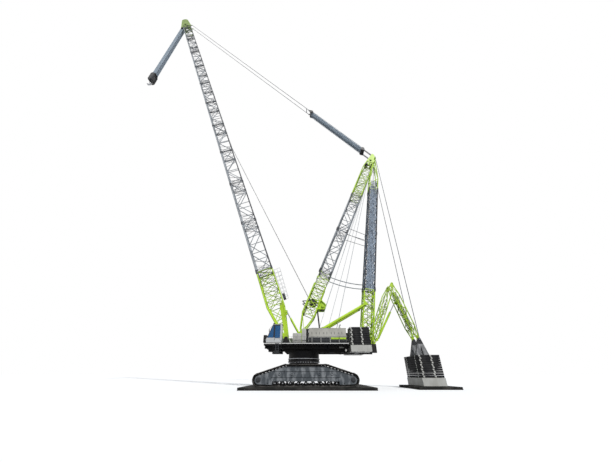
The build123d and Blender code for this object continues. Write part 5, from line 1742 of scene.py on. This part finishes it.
def rope_layer(shape: Shape, centre: Vector, radius: float, half: float) -> None:
    """Adds a layer of rope wound on a drum that turns about Y.

    Args:
        shape: The shape it goes into.
        centre: Middle of the drum.
        radius: Radius over the rope.
        half: Half the length of the layer.
    """
    turn = ((0.0, -2.5), (1.2, -0.4), (2.5, 0.0), (3.8, -0.4))
    profile = [(-half + k * 5 + far, radius + rise) for k in range(int(2 * half / 5)) for far, rise in turn]
    ends = [(half, radius - 2.5), (half, radius - 7), (-half, radius - 7)]
    shape.lathe(centre, Vector((0, 1, 0)), [*profile, *ends], 40)


@dataclass
class Machinery(Assembly):
    """Winches, sheaves, tackle blocks, cylinders and the hook.

    Attributes:
        drum_z: Height of the deck winches' drums.
        winch_along: Where the mast winch's drums lie along the mast.
        winch_side: Distance of its brackets from the middle.
        mast_pins: Place along and rear, and sheave radius, of each pin in the mast head.
        sheaves: Count of sheaves on each.
        guards: Count of rope guards at the boom head.
        head_pin: Place along and rear of the pin they lie round.
    """

    drum_z: float = 713.0
    winch_along: float = 560.0
    winch_side: float = 104.0
    mast_pins: tuple[tuple[float, float, float], ...] = ((4400.0, -60.0, 42.0), (4420.0, 66.0, 34.0))
    sheaves: int = 5
    guards: int = 9
    head_pin: Flat = (13560.0, -205.0)

    def dress(self) -> None:
        """Paints the CAD nodes and adds rope layers, drums, motors and sheaves."""
        self.paint(Paint.DARK, "tackle_rear_block", "tackle_front_block", "hook_block", "head_sheaves")
        self.paint(Paint.BARE, "backstop_rods", "guide_rod", "hook")
        self.paint(Paint.PENDANT, "boom_pendants", "ballast_pendants")
        self.paint(Paint.LIME, "guide_barrel", "deck_winches", "mast_winch", "backstop_barrels")
        self.dress_winches()
        self.dress_mast_head()
        self.dress_boom_head()
        self.dress_hook_block()

    def dress_winches(self) -> None:
        """Adds rope, motors, frames and brackets of the deck and mast winches."""
        drums, wraps, motor, frame = Shape(), Shape(), Shape(), Shape()
        axis = Vector((0, 1, 0))
        for x in DRUMS_X:
            drum = Vector((x, 0, self.drum_z))
            rope_layer(wraps, drum, 56, 90)
            for way in (-1, 1):
                motor.tube(drum + axis * (way * 110), drum + axis * (way * 146), 30, 24)
                motor.tube(drum + axis * (way * 146), drum + axis * (way * 166), 18, 18)
        behind, inside = MAST.at(self.winch_along, 190), MAST.at(self.winch_along, 0)
        rope_layer(wraps, behind, 50, 78)
        rope_layer(wraps, inside, 46, 88)
        cheek = [(90, 14), (90, 62), (96, 62), (96, 34), (118, 30), (118, CLOSED), (90, CLOSED)]
        corners = ((470, 112), (520, 232), (600, 232), (650, 112))
        bracket = (*zip(corners, corners[1:]), ((500, -112), (650, 112)))
        arms = (((560, -60), (500, -190)), ((500, -190), (470, -112)), ((640, -112), (560, 112)))
        for way in (-1, 1):
            motor.tube(behind + axis * (way * 93), behind + axis * (way * 122), 26, 24)
            drums.lathe(inside, axis * way, cheek, 36)
            side = way * self.winch_side
            for start, end in bracket:
                frame.tube(MAST.at(*start, side), MAST.at(*end, side), 9, 12)
            for start, end in arms:
                drums.tube(MAST.at(*start, side), MAST.at(*end, side), 8, 12)
        drums.tube(inside - axis * 90, inside + axis * 90, 40, 28)
        for side in (-92, 92):
            drums.tube(MAST.at(470, 120, side), Vector((-292, side, 700)), 7.5, 14)
            drums.tube(MAST.at(470, -80, side), MAST.at(300, -90, side), 7.5, 14)
        self.add(drums, "mast_winch_frames", Paint.DARK, "upper", 0.6)
        self.add(frame, "mast_winch_brackets", Paint.LIME, "upper")
        self.add(wraps, "drum_ropes", Paint.SHADE, "upper")
        self.add(motor, "winch_motors", Paint.LIME, "upper", 0.8)

    def dress_mast_head(self) -> None:
        """Adds the sheaves in the mast head and their pins."""
        top = Shape()
        for k in range(self.sheaves):
            for along, rear, radius in self.mast_pins:
                sheave(top, MAST.at(along, rear, -48 + 24 * k), radius, 15, 12)
        for along, rear, _ in self.mast_pins:
            top.tube(MAST.at(along, rear, -106), MAST.at(along, rear, 106), 11.5, 18)
        self.add(top, "mast_sheaves", Paint.DARK, "upper")

    def dress_boom_head(self) -> None:
        """Adds rope guards and bearing rings at the boom head."""
        guard = Shape()
        pin = BOOM.at(*self.head_pin)
        ring = [(76, 16), (76, 58), (82, 58), (82, 30), (100, 26), (100, 16)]
        for way in (-1, 1):
            for k in range(self.guards):
                turn = radians(118 + 24 * k)
                spot = pin + Vector((cos(turn) * 69, way * 78, sin(turn) * 69))
                guard.tube(spot, spot + Vector((0, way * 10, 0)), 4.5, 8)
            guard.lathe(pin, Vector((0, way, 0)), ring, 32)
        self.add(guard, "hoist_sheave_guards", Paint.DARK, "boom")

    def dress_hook_block(self) -> None:
        """Adds the housing between the cheeks of the hook block and the bands on them."""
        housing = Shape().box((HOOK_X - 52, -69, 9060), (HOOK_X + 52, 69, 9292))
        self.add(housing, "hook_block_housing", Paint.DARK, "hook_block", 3.0)
        band = Shape()
        for way in (-1, 1):
            low, high = span(way, 102, 104)
            for k in range(3):
                corners = [(x + 34 * k, z) for x, z in ((-50, 9100), (-36, 9100), (-20, 9160), (-34, 9160))]
                band.prism([Vector((HOOK_X + x, low, z)) for x, z in corners], Vector((0, high - low, 0)))
        self.add(band, "hook_block_bands", Paint.LIME, "hook_block")


@dataclass(frozen=True)
class Stack:
    """A stack of cast slabs.

    Attributes:
        name: Name of the stack.
        centre: Middle of the lowest slab's underside.
        size: Length, width and height of one slab.
        count: Count of slabs.
        body: Body it rides on.
        node: CAD node it stands for.
    """

    name: str
    centre: Point
    size: Point
    count: int
    body: str
    node: str


@dataclass
class Ballast(Assembly):
    """Slabs of the superstructure ballast and of the derrick ballast.

    Attributes:
        stacks: The stacks.
        inset: How far a slab lies inside its share of the stack's outline.
        corner: Width of its cut corners.
        gap: Half the gap between two slabs.
        lug_shares: Places of the lugs on a long side, as shares of the length.
        end_shares: Places of the lugs on an end, as shares of the width.
    """

    stacks: tuple[Stack, ...] = (
        Stack("left", (-890.0, 322.5, 580.0), (320.0, 255.0, 33.0), 8, "upper", "upper_ballast"),
        Stack("right", (-890.0, -322.5, 580.0), (320.0, 255.0, 33.0), 8, "upper", "upper_ballast"),
        Stack("derrick", (-1955.0, 0.0, 145.0), (350.0, 640.0, 31.0), 10, "ballast", "derrick_ballast"),
    )
    inset: float = 4.0
    corner: float = 10.0
    gap: float = 1.6
    lug_shares: Flat = (-0.08, 0.42)
    end_shares: Flat = (-0.3, 0.3)

    def dress(self) -> None:
        """Builds every stack and paints its base."""
        self.paint(Paint.PANEL, "ballast_bases", "ballast_tray")
        for stack in self.stacks:
            self.slabs(stack)
            self.lugs(stack)

    def slabs(self, stack: Stack) -> None:
        """The slabs of a stack.

        Args:
            stack: The stack.
        """
        length, width, height = stack.size
        a, b, c = length / 2 - self.inset, width / 2 - self.inset, self.corner
        right = ((a - c, -b), (a, -b + c), (a, b - c), (a - c, b))
        outline = ((-a + c, -b), *right, (-a + c, b), (-a, b - c), (-a, -b + c))
        base = [Vector((x, y, self.gap)) for x, y in outline]
        slab = Shape().prism(base, Vector((0, 0, height - 2 * self.gap)))
        spots = [(Vector(stack.centre) + Vector((0, 0, k * height)), UNTURNED) for k in range(stack.count)]
        made = self.kit.spread(f"{stack.name}_slabs", slab.build("slab", Paint.SLAB, 2.0), spots, Paint.SLAB)
        self.fit(made, Paint.SLAB, stack.body, stack.node)

    def lugs(self, stack: Stack) -> None:
        """The slanted lifting lugs round a stack.

        Args:
            stack: The stack.
        """
        length, width, height = stack.size
        out_x, out_y = length / 2 - self.inset + 1.5, width / 2 - self.inset + 2.5
        face = ((-15, 4), (9, 4), (15, height - 4), (-9, height - 4))
        lug = Shape().prism([Vector((x, -4, z)) for x, z in face], Vector((0, 8, 0)))
        spots = []
        for k in range(stack.count):
            skew = 5 if k % 2 else -5
            foot = Vector(stack.centre)
            for way in (-1, 1):
                for share in self.lug_shares:
                    spots.append((foot + Vector((share * length + skew, way * out_y, k * height)), UNTURNED))
                for share in self.end_shares:
                    place = foot + Vector((way * out_x, share * width + skew, k * height))
                    spots.append((place, (0.0, 0.0, pi / 2)))
        made = self.kit.spread(f"{stack.name}_lugs", lug.build("lug", Paint.PANEL, 0.8), spots, Paint.PANEL)
        self.fit(made, Paint.PANEL, stack.body)


@dataclass
class Ropes(Assembly):
    """Hoist, luffing and winch ropes, and the hoses between mast and strut.

    Attributes:
        columns: Count of hoist falls along the block.
        rows: Count of rows of them across it.
        fall_half: Half the length that a row takes up.
        fall_radius: Radius of a fall.
        tackle_levels: Places of their layers towards the rear.
        tackle_columns: Count of falls in a layer.
        line_side: Distance of the two hoist lines from the middle.
        rollers: Where the hoist lines' rollers lie, along the boom.
        hose_sides: Y of the hoses.
    """

    columns: int = 12
    rows: int = 7
    fall_half: float = 62.8
    fall_radius: float = 4.2
    tackle_levels: tuple[float, ...] = (-47.8, -24.0, 0.0, 24.0, 47.8)
    tackle_columns: int = 8
    line_side: float = 30.67
    rollers: tuple[float, ...] = (5150.0, 7826.7, 10503.3, 13180.0)
    hose_sides: Flat = (-9.0, 9.0)

    def dress(self) -> None:
        """Builds every rope, and the hoses between mast and strut."""
        self.hoist_falls()
        self.luffing_falls()
        self.hoist_lines()
        fan = []
        for index, drum in enumerate(DRUMS_X):
            for y in (-30, 30):
                fan.append((Vector((drum + 20, y, 760)), MAST.at(4400 - 30 * index, 66, y * 0.8), 2.8))
        fan += [(MAST.at(560, 236, y), MAST.at(4420, 100, y), 2.6) for y in (-40, -14, 14, 40)]
        self.rods("winch_ropes", fan, Paint.PALE_ROPE, "upper", sides=6)
        hoses = Shape()
        for y in self.hose_sides:
            for low, high, sag in ((1161, 985, 30), (1070, 902, 34)):
                hoses.sweep(sagging(MAST.at(low, 116, y), STRUT.at(high, -106, y), sag), 5.5, 8)
        self.add(hoses, "hoses", Paint.HOSE, "upper")

    def hoist_falls(self) -> None:
        """Falls between the boom head and the hook block."""
        falls = []
        for row in range(self.rows):
            y = 20.0 * (row - (self.rows - 1) / 2)
            skew = (row % 3 - 1) * 3.5
            for column in range(self.columns):
                x = HOOK_X + self.fall_half * (2 * column / (self.columns - 1) - 1) + skew
                falls.append((Vector((x, y, BLOCK_TOP_Z)), Vector((x, y, HEAD_PIN_Z)), self.fall_radius))
        ropes = self.kit.rods("hoist_falls", falls, Paint.ROPE, 6)
        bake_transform(ropes)
        self.stand_for(ropes, Paint.ROPE, "hoist_ropes")

    def luffing_falls(self) -> None:
        """Falls between the two blocks of the luffing tackle."""
        falls = []
        for column in range(self.tackle_columns):
            side = (column - (self.tackle_columns - 1) / 2) * 18.0
            for level in self.tackle_levels:
                falls.append((TACKLE.at(360, level, side), TACKLE.at(2515, level, side), self.fall_radius))
        ropes = self.kit.rods("luffing_falls", falls, Paint.ROPE, 6)
        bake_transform(ropes)
        self.stand_for(ropes, Paint.ROPE, "luffing_ropes_rear", "luffing_ropes_front")

    def hoist_lines(self) -> None:
        """Lines from the drum in the mast foot up the rear of the boom to its nose."""
        path = [MAST.at(560, -46), BOOM.at(5150, 170.6), BOOM.at(13820, 170.6), BOOM.at(14250, 96.5)]
        lines = []
        for y in (-self.line_side, self.line_side):
            off = Vector((0, y, 0))
            for (start, end), pieces in zip(zip(path, path[1:]), (48, 1, 1)):
                lines += self.cut((start + off, end + off, 3.0), pieces)
        for along in self.rollers:
            lines.append((BOOM.at(along, 161.8, -148), BOOM.at(along, 161.8, 148), 6.0))
        ropes = self.kit.rods("boom_hoist_lines", lines, Paint.SHADE, 6)
        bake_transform(ropes)
        self.stand_for(ropes, Paint.SHADE, "hoist_lines")

    def cut(self, bar: Bar, pieces: int) -> list[Bar]:
        """Cuts a bar into shorter ones.

        Args:
            bar: The bar.
            pieces: Count of pieces.

        Returns:
            The pieces.
        """
        start, end, radius = bar
        stops = [start.lerp(end, k / pieces) for k in range(pieces + 1)]
        return [(low, high, radius) for low, high in zip(stops, stops[1:])]


# -------- stage
WHITE_LIGHT = (1.0, 1.0, 1.0, 1.0)


@dataclass
class Stage:
    """Floor, sky, sun and camera.

    Attributes:
        floor_reach: Half the width of the floor, in metres.
        floor_lit: Grey of the floor for rays that light the object.
        floor_seen: Grey of the floor for rays that show it.
        floor_glow: Strength of its own light for those rays.
        sky_colour: Colour of the sky that lights the object.
        sky_strength: Its strength.
        sun_strength: Strength of the sun.
        sun_tilt: Its turn about X and Y, in degrees.
        eye: Place of the camera, in metres.
        eye_rise: How far it looks up, in degrees.
        lens: Its focal length on a sensor 36 mm wide.
    """

    floor_reach: float = 60.0
    floor_lit: float = 0.22
    floor_seen: float = 0.95
    floor_glow: float = 0.14
    sky_colour: Point = (0.86, 0.90, 0.96)
    sky_strength: float = 0.45
    sun_strength: float = 2.5
    sun_tilt: Flat = (-42.0, -24.0)
    eye: Point = (-0.06, 4.53, 0.195)
    eye_rise: float = 30.844
    lens: float = 14.017

    def background_rays(self, tree: bpy.types.NodeTree) -> Socket:
        """Adds what tells rays that show the background from rays that light the object.

        Args:
            tree: Node tree of the world or of a material.

        Returns:
            A socket that is 1 for camera, glossy and transmission rays.
        """
        path = tree.nodes.new("ShaderNodeLightPath")
        found = path.outputs["Is Camera Ray"]
        for label in ("Is Glossy Ray", "Is Transmission Ray"):
            larger = tree.nodes.new("ShaderNodeMath")
            larger.operation = "MAXIMUM"
            tree.links.new(found, larger.inputs[0])
            tree.links.new(path.outputs[label], larger.inputs[1])
            found = larger.outputs[0]
        return found

    def floor_paint(self) -> bpy.types.Material:
        """Makes a floor material that looks pale but throws little light back.

        Returns:
            The material.
        """
        made = bpy.data.materials.new("stage_floor")
        made.use_nodes = True
        tree = made.node_tree
        mixed = tree.nodes.new("ShaderNodeMix")
        mixed.data_type = "RGBA"
        put(mixed, {"A": (*[self.floor_lit] * 3, 1.0), "B": (*[self.floor_seen] * 3, 1.0)})
        seen = self.background_rays(tree)
        shader = tree.nodes["Principled BSDF"]
        glow = tree.nodes.new("ShaderNodeMath")
        glow.operation = "MULTIPLY"
        glow.inputs[1].default_value = self.floor_glow
        tree.links.new(seen, mixed.inputs["Factor"])
        tree.links.new(seen, glow.inputs[0])
        tree.links.new(mixed.outputs["Result"], shader.inputs["Base Color"])
        tree.links.new(glow.outputs[0], shader.inputs["Emission Strength"])
        put(shader, {"Emission Color": WHITE_LIGHT, "Roughness": 0.9, "Specular IOR Level": 0.0})
        return made

    def build_floor(self) -> None:
        """Lays the floor, which keeps the crane's shadow."""
        mesh = bpy.data.meshes.new("floor")
        reach = self.floor_reach
        corners = [(-reach, -reach, 0), (reach, -reach, 0), (reach, reach, 0), (-reach, reach, 0)]
        mesh.from_pydata(corners, [], [(0, 1, 2, 3)])
        mesh.materials.append(self.floor_paint())
        floor = placed("floor", mesh)

    def build_sky(self) -> None:
        """Makes a soft sky that is plain white where it is seen."""
        world = bpy.data.worlds.new("sky")
        bpy.context.scene.world = world
        world.use_nodes = True
        nodes, links = world.node_tree.nodes, world.node_tree.links
        sky = nodes["Background"]
        put(sky, {"Color": (*self.sky_colour, 1.0), "Strength": self.sky_strength})
        white = nodes.new("ShaderNodeBackground")
        put(white, {"Color": WHITE_LIGHT, "Strength": 1.0})
        mixed = nodes.new("ShaderNodeMixShader")
        links.new(self.background_rays(world.node_tree), mixed.inputs["Fac"])
        links.new(sky.outputs["Background"], mixed.inputs[1])
        links.new(white.outputs["Background"], mixed.inputs[2])
        links.new(mixed.outputs["Shader"], nodes["World Output"].inputs["Surface"])

    def build_sun(self) -> None:
        """Hangs the sun."""
        sun = bpy.data.lights.new("sun", "SUN")
        sun.energy = self.sun_strength
        sun.angle = radians(2.0)
        lamp = placed("sun", sun)
        lamp.rotation_euler = (*map(radians, self.sun_tilt), 0)

    def build_camera(self) -> None:
        """Places the camera low beside the crane, looking up."""
        view = bpy.data.cameras.new("camera")
        view.sensor_width = 36.0
        view.lens = self.lens
        view.clip_start = 0.05
        view.clip_end = 400.0
        eye = placed("camera", view)
        eye.location = self.eye
        eye.rotation_euler = (radians(90 + self.eye_rise), 0.0, pi)
        bpy.context.scene.camera = eye

    def build(self) -> None:
        """Sets up floor, sky, sun and camera."""
        self.build_floor()
        self.build_sky()
        self.build_sun()
        self.build_camera()
        bpy.context.scene.view_settings.view_transform = "Standard"


def main() -> None:
    """Builds every sub-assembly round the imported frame."""
    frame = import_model()
    kit = Kit()
    for kind in (Mats, Crawlers, CarBody, Platform, Houses, Cab, Lattices, Machinery, Ballast, Ropes):
        before = set(bpy.data.objects)
        kind(kit, frame).dress()
        for piece in bpy.data.objects:
            if piece not in before:
                LOG.info("%s: %s, %d faces", kind.__name__, piece.name, len(piece.data.polygons))
    Stage().build()


if __name__ == "__main__":
    logging.basicConfig(level=logging.INFO)
    main()
